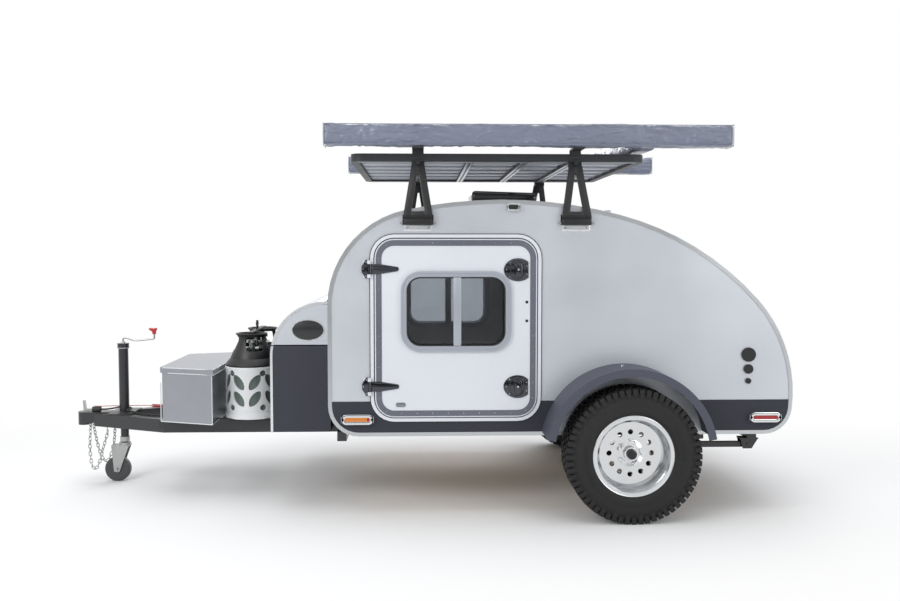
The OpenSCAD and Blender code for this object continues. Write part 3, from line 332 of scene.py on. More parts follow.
# %% [markdown]
# ## Cables at the tongue
# A seven-core cable runs from the toolbox in loose loops round the jack's foot to its plug by
# the coupler. The breakaway cable is a thin red wire with a curly middle. A curve with a round
# bevel is the natural shape for both: its centreline has the cable's real length. The curls
# are worked out turn by turn, because a hand-drawn helix never keeps its pitch.

# %% Wiring cable and breakaway cable
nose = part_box("coupler")[0].x / MM


def from_nose(points):
    return [(nose + x, y, z) for x, y, z in points]


CABLE = [(589.7, -150, 424), (560, -150, 423), (500, -146, 422), (440, -128, 422),
         (390, -104, 425), (350, -80, 431), (318, -62, 434), (299, -40, 436), (314, -8, 437),
         (302, 28, 438), (272, 42, 440), (240, 28, 443), (229, 0, 445), (226, -26, 446),
         (204, -38, 444), (180, -28, 440), (160, -24, 438.3), (140.3, -24, 438.3)]
CABLE_D = 10
cable_line = smooth(from_nose(CABLE), 6)
cable = tube("wiring_cable_run", cable_line, CABLE_D / 2, FINISH["cable_jacket"], "trailer",
             ["wiring_cable"])

BREAK_WIRE = [(89, 8, 452), (120, 20, 449), (170, 44, 446), (230, 64, 444), (300, 70, 443),
              (360, 72, 443), (400, 72, 443)]
BREAK_COIL = [(400, 72, 443), (440, 73, 440), (480, 74, 438), (530, 75, 437)]
BREAK_END = [(530, 75, 437), (560, 76, 434), (589.7, 76, 432)]
WIRE_D = 4
CURL_R = 9
CURL_PITCH = 5.6
CURL_EASE = 24
CURL_STEP = 0.35


def place_at(points, reach):
    for a, b in zip(points, points[1:]):
        span = (b - a).length
        if reach <= span:
            return a.lerp(b, reach / span)
        reach -= span
    return points[-1]


def curls(core):
    run = length(core) / MM
    line, turned = [], 0.0
    for i in range(int(run / CURL_STEP)):
        reach = i * CURL_STEP
        share = min(1, min(reach, run - reach) / CURL_EASE)
        ease = share * share * (3 - 2 * share)
        turned += 2 * math.pi / CURL_PITCH * CURL_STEP * ease
        ahead = (place_at(core, reach + 5) - place_at(core, max(0, reach - 5))).normalized()
        side = ahead.cross(Vector((0, 0, 1))).normalized()
        line.append(place_at(core, reach) + CURL_R * ease
                    * (math.cos(turned) * side + math.sin(turned) * side.cross(ahead)))
    return line


wire_line = (smooth(from_nose(BREAK_END), 4)[::-1]
             + curls(smooth(from_nose(BREAK_COIL), 12)[::-1])[1:]
             + smooth(from_nose(BREAK_WIRE), 4)[::-1])
wire_line = [p for i, p in enumerate(wire_line) if i == 0 or (p - wire_line[i - 1]).length > 0.2]
wire = tube("breakaway_wire", wire_line, WIRE_D / 2, FINISH["red_handle"], "trailer",
            ["breakaway_cable"])
print("cables, metres:", round(length(cable_line), 3), round(length(wire_line), 3))

# %% [markdown]
# ## Awning cloth
# The awning bags are PVC-coated polyester, slate grey with a soft sheen. Creases come from the
# packed canvas inside pulling the cover, so they run slantwise and catch the light. The weave
# is half a millimetre in reality, too fine to see here, so it is drawn at three millimetres and
# very low.

# %% Coated cloth
def coated_cloth(name, colour, rough, weave, relief, crease):
    material = finish(name, colour, rough, grain=weave, relief=relief, drift=0.10, wear=0.10)
    tree = material.node_tree
    shader = tree.nodes["Principled BSDF"]
    shader.inputs["Sheen Weight"].default_value = 0.15
    place = node(tree, "ShaderNodeTexCoord").outputs["Object"]
    threads = node(tree, "ShaderNodeMapping", {"Vector": place, "Scale": (2 / weave * 1000,) * 3})
    weft = node(tree, "ShaderNodeTexWave", {"Vector": threads.outputs[0], "Scale": 0.3},
                bands_direction="X")
    warp = node(tree, "ShaderNodeTexWave", {"Vector": threads.outputs[0], "Scale": 0.3},
                bands_direction="Z")
    cloth = node(tree, "ShaderNodeMath", {0: weft.outputs["Fac"], 1: warp.outputs["Fac"]},
                 operation="MULTIPLY")
    pulled = node(tree, "ShaderNodeMapping", {"Vector": place, "Rotation": (0, 0.7, 0.2),
                                              "Scale": (7, 7, 26)})
    wrinkle = node(tree, "ShaderNodeTexNoise", {"Vector": pulled.outputs[0], "Scale": 1.0,
                                                "Detail": 2.5, "Distortion": 1.2})
    folds = node(tree, "ShaderNodeBump", {"Height": wrinkle.outputs["Fac"], "Strength": 0.8,
                                          "Distance": crease * MM,
                                          "Normal": tree.nodes["Bump"].outputs[0]})
    bump = node(tree, "ShaderNodeBump", {"Height": cloth.outputs[0], "Strength": 0.4,
                                         "Distance": relief * MM, "Normal": folds.outputs[0]})
    tree.links.new(bump.outputs[0], shader.inputs["Normal"])
    return material


FINISH["coated_polyester"] = coated_cloth("coated_polyester", "#7A8092", 0.25, 3.0, 0.05, 26)
FINISH["mattress_ticking"] = coated_cloth("mattress_ticking", "#B9B4A8", 0.85, 3.0, 0.10, 4)
FINISH["pvc_piping"] = finish("pvc_piping", "#A9AFBA", 0.40, grain=2.0, relief=0.02)

# %% [markdown]
# ## Stuffed shapes by simulation
# A bag or a mattress is a stuffed cover. A box is remeshed to even squares, a cloth simulation
# blows it up a little against its own seams, and every point's move is capped so that it stays
# in its space. Creases are then pushed in along slanted waves that noise bends, because a
# short simulation alone leaves such a long bag too smooth.

# %% Stuffed shapes
def stuffed(name, low, high, voxel, cap, creases, material, body, stands_for, fill):
    low, high = Vector(low), Vector(high)
    inset = Vector((cap,) * 3)
    bm = bmesh.new()
    add_box(bm, low + inset, high - inset, 10, 3)
    bmesh.ops.recalc_face_normals(bm, faces=bm.faces)
    mesh = bpy.data.meshes.new(name)
    bm.to_mesh(mesh)
    bm.free()
    made = bpy.data.objects.new(name, mesh)
    scene.collection.objects.link(made)
    remesh = made.modifiers.new("remesh", "REMESH")
    remesh.mode = "VOXEL"
    remesh.voxel_size = voxel * MM
    bake(made)
    rest = [v.co.copy() for v in made.data.vertices]
    cloth = made.modifiers.new("cloth", "CLOTH")
    cloth.settings.use_pressure = True
    cloth.settings.uniform_pressure_force = 4
    cloth.settings.effector_weights.gravity = 0
    cloth.point_cache.frame_end = 20
    for step in range(1, 21):
        scene.frame_set(step)
    bake(made)
    scene.frame_set(1)
    centre, half = (low + high) / 2 * MM, (high - low) / 2 * MM
    run = 0 if half.x > half.y else 1
    for v, home in zip(made.data.vertices, rest):
        move = v.co - home
        if move.length > cap * MM:
            move *= cap * MM / move.length
        along = home[run] / MM
        across = (home - centre)[1 - run] / MM + (home - centre)[2] / MM
        bend = noise.noise(home * 9)
        lively = max(0, 0.7 + 1.3 * noise.noise(home * 4 + Vector((3, 1, 7))))
        broad = 1 - (1 - abs(math.sin((along + 1.1 * across) / 55 + 5 * bend))) ** 2
        sharp = 1 - (1 - abs(math.sin((along - 0.6 * across) / 34 + 7 * bend))) ** 3
        fold = min(1, lively) * (0.6 * broad + 0.4 * sharp)
        out = (home - centre)
        across_share = abs(out[1 - run]) / half[1 - run]
        tall_share = abs(out[2]) / half[2]
        end_gap = (half[run] - abs(out[run])) / MM
        fold *= max(0, 1 - min(across_share, tall_share) ** 4) * min(1, max(0, end_gap - 8) / 60)
        out[run] = 0
        v.co = home + move - out.normalized() * fold * creases * MM
    smooth_mod = made.modifiers.new("round", "SUBSURF")
    smooth_mod.levels = smooth_mod.render_levels = 1
    made.data.polygons.foreach_set("use_smooth", [True] * len(made.data.polygons))
    made.data.materials.append(material)
    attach(made, body)
    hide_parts(*stands_for)
    return made


def bake(made):
    graph = bpy.context.evaluated_depsgraph_get()
    mesh = bpy.data.meshes.new_from_object(made.evaluated_get(graph))
    made.modifiers.clear()
    made.data = mesh


bags_low, bags_high = (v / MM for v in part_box("awning_bags"))
rack_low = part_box("roof_rack")[0] / MM
BAG_DEEP, BAG_TALL, BAG_LONG = 135, 120, 2090   # depth, height and length of a side bag
BAG_REAR = 1392                                 # length of the rear bag
RACK_LONG = 1538
rear_bag_x = rack_low.x + RACK_LONG
BAG_COVER = {"voxel": 9, "cap": 5, "creases": 15, "material": FINISH["coated_polyester"],
             "body": "trailer", "stands_for": ["awning_bags"], "fill": 0.8}
print("bags", [round(v) for v in (*bags_low, *bags_high)])
bag_front = bags_low.x
for side, name in ((-1, "left"), (1, "right")):
    outer, inner = side * bags_high.y, side * (bags_high.y - BAG_DEEP)
    stuffed(f"awning_bag_{name}", (bag_front, min(outer, inner), bags_low.z),
            (bag_front + BAG_LONG, max(outer, inner), bags_high.z), **BAG_COVER)
stuffed("awning_bag_rear", (rear_bag_x - BAG_DEEP / 2, -BAG_REAR / 2, bags_low.z),
        (rear_bag_x + BAG_DEEP / 2, BAG_REAR / 2, bags_high.z), **BAG_COVER)
bed_low, bed_high = (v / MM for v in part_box("mattress"))
stuffed("mattress_pad", bed_low, bed_high, voxel=20, cap=8, creases=3,
        material=FINISH["mattress_ticking"], body="trailer", stands_for=["mattress"], fill=0.7)

# %% [markdown]
# ## Piping and seams
# Each side bag is edged with a pale cord round both its ends, and has a zip along its foot and a
# sewn seam under its top. Thin tubes along these lines are enough; they sit half sunk in the
# cloth, as sewn piping does.

# %% Seams of the awning bags
def corner_loop(u, v, half_u, half_v, radius, steps=5):
    loop = []
    for quarter, (su, sv) in enumerate(((1, 1), (-1, 1), (-1, -1), (1, -1))):
        for i in range(steps + 1):
            angle = math.radians(90 * (quarter + i / steps))
            loop.append((u + su * (half_u - radius) + radius * math.cos(angle),
                         v + sv * (half_v - radius) + radius * math.sin(angle)))
    return loop


bag_z = (bags_low.z + bags_high.z) / 2
for side, name in ((-1, "left"), (1, "right")):
    mid = side * (bags_high.y - BAG_DEEP / 2)
    for end, x in (("front", bag_front + 7), ("back", bag_front + BAG_LONG - 7)):
        loop = corner_loop(mid, bag_z, BAG_DEEP / 2 - 5, BAG_TALL / 2 - 5, 9)
        tube(f"bag_piping_{name}_{end}", [(x, y, z) for y, z in loop], 2.5,
             FINISH["pvc_piping"], "trailer", cyclic=True)
    edge = side * (bags_high.y - 6)
    for seam, z in (("zip", bags_low.z + 9), ("top", bags_high.z - 10)):
        line = [(bag_front + 10 + k * (BAG_LONG - 20) / 12, edge, z) for k in range(13)]
        tube(f"bag_{seam}_{name}", line, 2.2, FINISH["coated_polyester"], "trailer")

# %% [markdown]
# ## Tyres
# An all-terrain tyre is a carcass spun round the axle with rows of rubber blocks moulded on it.
# The carcass is one profile and a full spin. The blocks are small bevelled boxes placed by
# angle in five rows, every second row half a block round, and the outer rows reach over the
# shoulder, which gives the toothed outline. The sidewall carries plain raised bars.

# %% Tyres
hub = (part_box("tyre_left")[0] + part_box("tyre_left")[1]) / 2 / MM
TYRE_R = 345
TREAD_BASE = 335
BLOCKS = 60
ROWS = [(-83, 34, 27, 0.0), (-43, 32, 24, 0.5), (0, 38, 22, 0.0), (43, 32, 24, 0.5),
        (83, 34, 27, 0.0)]   # across, width, length, shift in blocks
CARCASS = [(196, -66), (214, -86), (224, -92), (227, -97), (247, -101), (250, -99.5),
           (267, -102), (292, -101), (296, -98), (314, -95), (328, -88), (TREAD_BASE, -72),
           (TREAD_BASE, 72), (328, 88), (314, 95), (296, 98), (292, 101), (267, 102),
           (250, 99.5), (247, 101), (227, 97), (224, 92), (214, 86), (196, 66),
           (198, 52), (222, 74), (267, 90), (318, 70), (318, -70), (267, -90), (222, -74),
           (198, -52)]   # radius, across


def about_axle(angle, radius, across):
    return Vector((radius * math.sin(angle), across, radius * math.cos(angle)))


def spun(bm, profile, steps, closed=True):
    points = [bm.verts.new((0, y * MM, r * MM)) for r, y in profile]
    pairs = zip(points, points[1:] + points[:1]) if closed else zip(points, points[1:])
    edges = [bm.edges.new(pair) for pair in pairs]
    made = bmesh.ops.spin(bm, geom=points + edges, cent=(0, 0, 0), axis=(0, 1, 0),
                          angle=2 * math.pi, steps=steps, use_merge=True)
    return made


def block_at(bm, angle, radius, across, size, skew=0.0, bevel=1.6):
    before = set(bm.verts)
    add_box(bm, -Vector(size) / 2, Vector(size) / 2, bevel, 1)
    verts = [v for v in bm.verts if v not in before]
    turn = Matrix.Rotation(angle, 4, "Y") @ Matrix.Translation((0, across * MM, radius * MM)) \
        @ Matrix.Rotation(skew, 4, "Z")
    bmesh.ops.transform(bm, matrix=turn, verts=verts)


def tyre(name, centre, body, node_name):
    bm = bmesh.new()
    spun(bm, CARCASS, 120)
    for across, width, long, shift in ROWS:
        tall = 20
        top = math.sqrt(TYRE_R ** 2 - (long / 2) ** 2) - 0.3
        for k in range(BLOCKS):
            angle = 2 * math.pi * (k + shift) / BLOCKS
            skew = 0.22 * (1 if k % 2 else -1) if abs(across) < 60 else 0.0
            block_at(bm, angle, top - tall / 2, across, (long, width, tall), skew)
    for sign in (-1, 1):
        for k in range(BLOCKS):
            reach = 38 if k % 2 else 24
            angle = 2 * math.pi * k / BLOCKS
            block_at(bm, angle, 331 - reach / 2, sign * 95.5, (21, 11, reach), 0.0, 2.5)
    bmesh.ops.translate(bm, vec=centre * MM, verts=bm.verts)
    return mesh_piece(name, bm, FINISH["tyre_rubber"], body, [node_name], angle=40)


def side_bars(name, centre, side, body):
    bm = bmesh.new()
    for first, count in ((-2.15, 11), (0.95, 8)):
        for k in range(count):
            block_at(bm, first + 0.095 * k, 252, side * 101.2, (6.5, 3.4, 21), 0.0, 0.8)
    bmesh.ops.translate(bm, vec=centre * MM, verts=bm.verts)
    return mesh_piece(name, bm, FINISH["tyre_rubber"], body)


# %% [markdown]
# ## Alloy wheels
# The wheels are machined, so a fine turned groove runs round the whole face. The groove is drawn
# from each point's distance to the axle. Inboard of the disc the same material turns near black:
# that is painted shade, standing in for the shade in the hollow behind the spokes. Nuts and the
# cap are separate plated pieces.

# %% Turned alloy, nuts and caps
TURNING_PITCH = 3.0   # millimetres between tool marks, coarser than real so that they show


def turned_alloy(side):
    material = finish(f"turned_alloy_{side}", "#D6D8DA", 0.17, metal=1.0, grain=3.0,
                      relief=0.006, drift=0.04, wear=0.04)
    tree = material.node_tree
    shader = tree.nodes["Principled BSDF"]
    place = node(tree, "ShaderNodeTexCoord").outputs["Object"]
    offset = node(tree, "ShaderNodeVectorMath", {0: place, 1: (hub.x * MM, 0, hub.z * MM)},
                  operation="SUBTRACT")
    flat = node(tree, "ShaderNodeVectorMath", {0: offset.outputs[0], 1: (1, 0, 1)},
                operation="MULTIPLY")
    radius = node(tree, "ShaderNodeVectorMath", {0: flat.outputs[0]}, operation="LENGTH")
    phase = node(tree, "ShaderNodeMath", {0: radius.outputs["Value"],
                                          1: 2 * math.pi * 1000 / TURNING_PITCH},
                 operation="MULTIPLY")
    groove = node(tree, "ShaderNodeMath", {0: phase.outputs[0]}, operation="SINE")
    bump = node(tree, "ShaderNodeBump", {"Height": groove.outputs[0], "Strength": 0.35,
                                         "Distance": 0.03 * MM})
    tree.links.new(tree.nodes["Bump"].outputs[0], bump.inputs["Normal"])
    tree.links.new(bump.outputs[0], shader.inputs["Normal"])
    axes = node(tree, "ShaderNodeSeparateXYZ", {0: place})
    # painted shade: below, the casting is mixed to near black inboard of the disc, standing in for
    # the shade in the hollow behind the spokes
    inboard = abs(hub.y) - 17
    depth = node(tree, "ShaderNodeMath", {0: axes.outputs["Y"]}, operation="ABSOLUTE")
    dark = node(tree, "ShaderNodeMapRange", {"Value": depth.outputs[0],
                                             "From Min": (inboard - 6) * MM,
                                             "From Max": inboard * MM})
    tint = shader.inputs["Base Color"].links[0].from_socket
    painted_shade_mix = node(tree, "ShaderNodeMixRGB", {"Fac": dark.outputs[0], "Color1": linear("#1E1E1F"),
                                            "Color2": tint})
    tree.links.new(painted_shade_mix.outputs[0], shader.inputs["Base Color"])
    return material


NUT_RING = 57.15   # radius of a 4.5 inch circle of nuts
NUTS = 5
for side, name in ((-1, "left"), (1, "right")):
    body = f"wheel_{name}"
    centre = Vector((hub.x, side * abs(hub.y), hub.z))
    tyre(f"tyre_tread_{name}", centre, body, f"tyre_{name}")
    side_bars(f"tyre_bars_{name}", centre, side, body)
    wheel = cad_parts[f"wheel_{name}"]
    wheel.data.materials.clear()
    wheel.data.materials.append(turned_alloy(name))
    out = Vector((0, side, 0))
    bm = bmesh.new()
    for k in range(NUTS):
        angle = math.radians(360 / NUTS * k + 18)
        spot = about_axle(angle, NUT_RING, 0) + centre
        add_rod(bm, spot, spot + out * 16, 11.5, 6)
        add_rod(bm, spot + out * 16, spot + out * 27, 10, 24, tip=6)
    mesh_piece(f"lug_nuts_{name}", bm, FINISH["chrome_plate"], body)
    bm = bmesh.new()
    spun(bm, [(26, 18), (35, 18), (36.5, 21), (35, 24.5), (29, 24.5), (26, 21)], 48)
    bmesh.ops.scale(bm, vec=(1, side, 1), verts=bm.verts)
    bmesh.ops.translate(bm, vec=centre * MM, verts=bm.verts)
    mesh_piece(f"cap_ring_{name}", bm, FINISH["chrome_plate"], body)
    bm = bmesh.new()
    add_rod(bm, centre + out * 20, centre + out * 43, 25.5, 40, tip=24)
    add_rod(bm, centre + out * 43, centre + out * 46, 24, 40, tip=18)
    mesh_piece(f"hub_cap_{name}", bm, FINISH["black_moulding"], body)
    bm = bmesh.new()
    spun(bm, [(197, 74), (206, 78), (209, 82), (206, 83.5), (198, 79), (190, 60), (189, 50),
              (191, 50)], 120)
    bmesh.ops.scale(bm, vec=(1, side, 1), verts=bm.verts)
    bmesh.ops.translate(bm, vec=centre * MM, verts=bm.verts)
    mesh_piece(f"rim_lip_{name}", bm, FINISH["machined_alloy"], body)
print("tyre blocks:", BLOCKS * (len(ROWS) + 2))

# %% [markdown]
# ## Flat plates
# Doors, trims and lamps are mostly flat plates with rounded corners. One tool makes them all:
# an outline becomes a face, the face may be inset to leave a ring, and it is extruded outward
# from the side wall. Drawing once for the left and mirroring by a sign keeps both sides alike.

# %% Plate and screw tools
def rounded_outline(u, v, width, height, radius, steps=8):
    return corner_loop(u, v, width / 2, height / 2, radius, steps)


def plate(bm, side, outline, y0, y1, ring=0.0, bevel=0.0):
    before = set(bm.verts)
    face = bm.faces.new([bm.verts.new((x * MM, -y0 * MM, z * MM)) for x, z in outline])
    face.normal_update()
    if ring:
        bmesh.ops.inset_region(bm, faces=[face], thickness=ring * MM, use_boundary=True,
                               use_even_offset=True)
        rim = [f for f in bm.faces if f != face and all(v not in before for v in f.verts)]
        bmesh.ops.delete(bm, geom=[face], context="FACES")
    else:
        rim = [face]
    raised = bmesh.ops.extrude_face_region(bm, geom=rim)["geom"]
    top = [v for v in raised if isinstance(v, bmesh.types.BMVert)]
    bmesh.ops.translate(bm, vec=(0, -(y1 - y0) * MM, 0), verts=top)
    if bevel:
        high = {e for v in top for e in v.link_edges if all(w in set(top) for w in e.verts)
                and e.calc_face_angle(0) > 1.0}
        bmesh.ops.bevel(bm, geom=list(high), offset=bevel * MM, affect="EDGES", segments=2,
                        profile=0.5, material=-1)
    if side > 0:
        bmesh.ops.scale(bm, vec=(1, -1, 1), verts=[v for v in bm.verts if v not in before])


def evenly(points, step, shift=0.0):
    points = [Vector(p) for p in points]
    total = sum((b - a).length for a, b in zip(points, points[1:]))
    count = round(total / step)
    found, done = [], 0.0
    for a, b in zip(points, points[1:]):
        span = (b - a).length
        while span > 0 and len(found) < count:
            place = (len(found) + shift) * total / count
            if place > done + span:
                break
            found.append((a.lerp(b, (place - done) / span), b - a))
        done += span
    return found


def plate_piece(name, side, outline, y0, y1, look, body, ring=0.0, bevel=0.0):
    bm = bmesh.new()
    plate(bm, side, outline, y0, y1, ring, bevel)
    return mesh_piece(name, bm, FINISH[look], body)


def screw(bm, side, x, z, y, radius=3.6, tall=2.2, sides=12):
    add_rod(bm, (x, side * y, z), (x, side * (y + tall), z), radius, sides, tip=radius * 0.6)


# %% [markdown]
# ## Door sheets
# Each door is a white sheet with a grey aluminium band screwed round it, a rubber seal behind
# its edge and a thin dark joint round the frame. The band and its screws are what make the door
# read as a bought-in unit. All the places below are measured from the leaf and its window.

# %% Door bands, screws and seals
FINISH["grey_band"] = finish("grey_band", "#70737E", 0.42, metal=0.6, grain=2.0, relief=0.01,
                             drift=0.06)
FINISH["bright_screw"] = finish("bright_screw", "#C9CBCD", 0.25, metal=1.0, grain=3.0)
FINISH["gasket_rubber"] = finish("gasket_rubber", "#121315", 0.55, grain=1.5, relief=0.03)
FINISH["blank_badge"] = finish("blank_badge", "#8E9298", 0.30, metal=0.8, grain=2.0)
FINISH["black_plating"] = finish("black_plating", "#4A4C52", 0.16, metal=1.0, coat=0.3)

door_low, door_high = (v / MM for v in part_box("door_left"))
leaf = -door_low.y                     # outer face of a door leaf
door_w, door_h = door_high.x - door_low.x, door_high.z - door_low.z
door_x, door_z = (door_low.x + door_high.x) / 2, (door_low.z + door_high.z) / 2
win_low, win_high = (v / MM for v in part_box("window_frame_left"))
win_x, win_z = (win_low.x + win_high.x) / 2, (win_low.z + win_high.z) / 2
win_w, win_h = win_high.x - win_low.x, win_high.z - win_low.z
win_out = -win_low.y
DOOR_R = 100
WIN_R = 103
BORDER = 6             # white edge outside the grey band
BAND = 30
SCREW_PITCH = 80
SEAL = 11              # width of the rubber seal behind the leaf's edge
WALL = 762             # outer face of a side wall, from the middle of the trailer
LATCH_X = door_high.x - 108
LATCH_Z = (door_low.z + 159, door_low.z + 769)
HINGE_Z = (door_low.z + 162, door_low.z + 773)
hinge_x = door_low.x - 25
screw_line = rounded_outline(door_x, door_z, door_w - 2 * BORDER - BAND,
                             door_h - 2 * BORDER - BAND, DOOR_R - BORDER - BAND / 2)


def latch_outline(x, z):
    loop = []
    for k in range(25):
        angle = math.radians(42.5 + 275 * k / 24)
        loop.append((x + 8 + 74 * math.cos(angle), z + 60 * math.sin(angle)))
    return loop


def on_door(margin, radius):
    return rounded_outline(door_x, door_z, door_w + margin, door_h + margin, radius)


def on_window(margin):
    return rounded_outline(win_x, win_z, win_w + margin, win_h + margin, WIN_R + margin / 2)


for side, name in ((-1, "left"), (1, "right")):
    body = f"door_{name}"
    plate_piece(f"door_band_{name}", side, on_door(-2 * BORDER, DOOR_R - BORDER), leaf,
                leaf + 1.6, "grey_band", body, BAND)
    bm = bmesh.new()
    for (x, z), _ in evenly(screw_line + screw_line[:1], SCREW_PITCH):
        if not any(abs(z - h) < 30 and x < door_low.x + 60 for h in HINGE_Z):
            screw(bm, side, x, z, leaf + 1.5)
    mesh_piece(f"door_screws_{name}", bm, FINISH["bright_screw"], body)
    plate_piece(f"door_seal_{name}", side, on_door(SEAL, DOOR_R + 5), leaf - 14, leaf - 8,
                "gasket_rubber", body, SEAL)
    plate_piece(f"frame_edge_{name}", side, on_door(54, DOOR_R + 27), WALL - 1, WALL + 6,
                "gasket_rubber", "trailer", 4)
    plate_piece(f"door_badge_{name}", side,
                rounded_outline(door_low.x + 133, door_low.z + 66, 52, 24, 11.5), leaf,
                leaf + 2.5, "blank_badge", body, bevel=1)
print("door sheets trimmed, leaf at", round(leaf), "mm")

# %% [markdown]
# ## Door windows
# A caravan window is an acrylic pane in a light extrusion, with a black rubber gasket inside
# and a mullion where the sliding pane ends. Rings of one outline, each drawn a little smaller
# than the last, keep their corners in step.

# %% Window beads, gaskets and mullions
for side, name in ((-1, "left"), (1, "right")):
    body = f"door_{name}"
    bm = bmesh.new()
    for grow, width, tall in ((0, 12, 3), (-40, 7, 1.5)):
        plate(bm, side, on_window(grow), win_out - 1, win_out + tall, ring=width, bevel=1)
    mesh_piece(f"window_bead_{name}", bm, FINISH["light_window_frame"], body)
    plate_piece(f"window_gasket_{name}", side, on_window(-62), win_out - 14, win_out + 1.5,
                "gasket_rubber", body, 7)
    bm = bmesh.new()
    near_y, far_y = sorted((side * (win_out - 16), side * (win_out + 2)))
    reach = win_h / 2 - 32
    add_box(bm, (win_x - 14, near_y, win_z - reach), (win_x + 26, far_y, win_z + reach), 2)
    mesh_piece(f"window_mullion_{name}", bm, FINISH["light_window_frame"], body)
print("windows", round(win_w), "x", round(win_h), "mm")

# %% [markdown]
# ## Door latches
# A paddle latch is a pressed plate with a dished ring and a folding paddle, all black plated. The
# three parts are stacked plates with softened edges, because each is one flat pressing.

# %% Latches
for side, name in ((-1, "left"), (1, "right")):
    body = f"door_{name}"
    bm = bmesh.new()
    for z in LATCH_Z:
        ring = rounded_outline(LATCH_X + 4, z, 78, 104, 38)
        paddle = rounded_outline(LATCH_X + 10, z, 42, 78, 20)
        plate(bm, side, latch_outline(LATCH_X, z), leaf, leaf + 5, bevel=2)
        plate(bm, side, ring, leaf + 4, leaf + 9, ring=6, bevel=2)
        plate(bm, side, paddle, leaf + 4, leaf + 15, bevel=6)
    mesh_piece(f"latch_plates_{name}", bm, FINISH["black_plating"], body,
               [f"door_hardware_{name}"])
    bm = bmesh.new()
    for z in LATCH_Z:
        for dx, dz in ((-52, 0), (-34, 38), (-34, -38), (54, 22), (54, -22)):
            screw(bm, side, LATCH_X + dx, z + dz, leaf + 4.5, 4)
        screw(bm, side, LATCH_X + 10, z, leaf + 14.5, 6, 2, 20)
    mesh_piece(f"latch_screws_{name}", bm, FINISH["bright_screw"], body)
    bm = bmesh.new()
    for dz in (-50, 48):
        screw(bm, side, door_high.x - BORDER - BAND - 17, win_z + dz, leaf, 8, 5, 20)
    mesh_piece(f"door_studs_{name}", bm, FINISH["black_plating"], body)
print("latches at", [round(z) for z in LATCH_Z])

# %% [markdown]
# ## Door hinges
# A strap hinge has a long leaf on the door with a rib pressed in it, a pin, and a short leaf on
# the frame. The long leaf and the pin turn with the door, and the short one stays on the body.

# %% Hinges
STRAP = [(4, -26), (44, -27), (146, -11), (151, 0), (146, 11), (44, 27), (4, 26)]
STRAP_RIB = [(4, -8), (140, -4), (140, 4), (4, 8)]
SHORT_LEAF = [(-10, -48), (-22, -48), (-42, -14), (-42, 14), (-22, 48), (-10, 48)]
PIN_Y = 780


def from_hinge(outline, z):
    return [(hinge_x + u, z + v) for u, v in outline]


for side, name in ((-1, "left"), (1, "right")):
    straps, leaves, screws = bmesh.new(), bmesh.new(), bmesh.new()
    for z in HINGE_Z:
        plate(straps, side, from_hinge(STRAP, z), leaf, leaf + 5, bevel=2)
        plate(straps, side, from_hinge(STRAP_RIB, z), leaf + 4, leaf + 9, bevel=2)
        add_rod(straps, (hinge_x, side * PIN_Y, z - 26), (hinge_x, side * PIN_Y, z + 26), 9.5, 32)
        plate(leaves, side, from_hinge(SHORT_LEAF, z), WALL + 14, WALL + 17, bevel=1)
        for dx, dz in ((-18, 36), (-18, -36), (-34, 0)):
            screw(screws, side, hinge_x + dx, z + dz, WALL + 16.5, 4)
    mesh_piece(f"hinge_straps_{name}", straps, FINISH["black_plating"], f"door_{name}")
    mesh_piece(f"hinge_leaves_{name}", leaves, FINISH["black_plating"], "trailer")
    mesh_piece(f"hinge_screws_{name}", screws, FINISH["bright_screw"], "trailer")
print("hinges at", [round(z) for z in HINGE_Z])

# %% [markdown]
# ## Toolbox edges
# The toolbox is welded from brushed sheet with bright rolled edges along every fold. Each edge
# is a thin rod laid on the fold, which catches one clean highlight like the real hem does.

# %% Toolbox edges
def rods(name, lines, radius, material, body, sides=10):
    bm = bmesh.new()
    for points in lines:
        for a, b in zip(points, points[1:]):
            add_rod(bm, a, b, radius, sides)
    return mesh_piece(name, bm, material, body, merge=0.0)


tool_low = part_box("toolbox")[0] / MM
lid_low, lid_high = (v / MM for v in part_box("toolbox_lid"))
TOOL_FRONT, TOOL_BACK = 321, 437
LIP = 9


def tool_loop(z, out):
    x0, x1 = lid_low.x + LIP - out, lid_high.x - LIP + out
    slope = (TOOL_BACK - TOOL_FRONT) / (x1 - x0)
    a, b = TOOL_FRONT + out - slope * out, TOOL_BACK + out
    loop = [(x0, -a, z), (x1, -b, z), (x1, b, z), (x0, a, z)]
    return loop + loop[:1]


FINISH["bright_hem"] = finish("bright_hem", "#E4E6E9", 0.25, metal=0.7, grain=2.0, relief=0.01)
brow, lip = tool_loop(lid_high.z - 2, LIP + 1), tool_loop(lid_high.z - 31, LIP + 1)


def back_run(loop, short):
    share = short / (loop[1][0] - loop[0][0])
    near_end, far_end = (tuple(a + (b - a) * share for a, b in zip(loop[i], loop[j]))
                         for i, j in ((0, 1), (3, 2)))
    return [near_end, loop[1], loop[2], far_end]


rods("toolbox_lid_hems", [back_run(brow, 30), back_run(lip, 60)], 2.6, FINISH["bright_hem"],
     "toolbox_lid")
foot, head = tool_loop(tool_low.z + 3, -1), tool_loop(lid_high.z - 34, -1)
posts = [[foot[1], head[1]], [foot[2], head[2]]]
posts += [[foot[k], tuple(f + 0.8 * (h - f) for f, h in zip(foot[k], head[k]))] for k in (0, 3)]
rods("toolbox_hems", [foot] + posts, 3, FINISH["bright_hem"], "trailer")

# %% [markdown]
# ## Tools for moulded shells
# A moulded shell with windows is a spun profile with holes cut through it. One boolean takes all
# the cutters at once, which is quicker and cleaner than a cut for each hole.

# %% Lathe, leaf cutter and cut
case_low, case_high = (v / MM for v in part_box("cylinder_casings"))
collar_low, collar_high = (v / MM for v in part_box("cylinder_collars"))
gas_x = (case_low.x + case_high.x) / 2
gas_r = (case_high.x - case_low.x) / 2
gas_y = case_high.y - gas_r


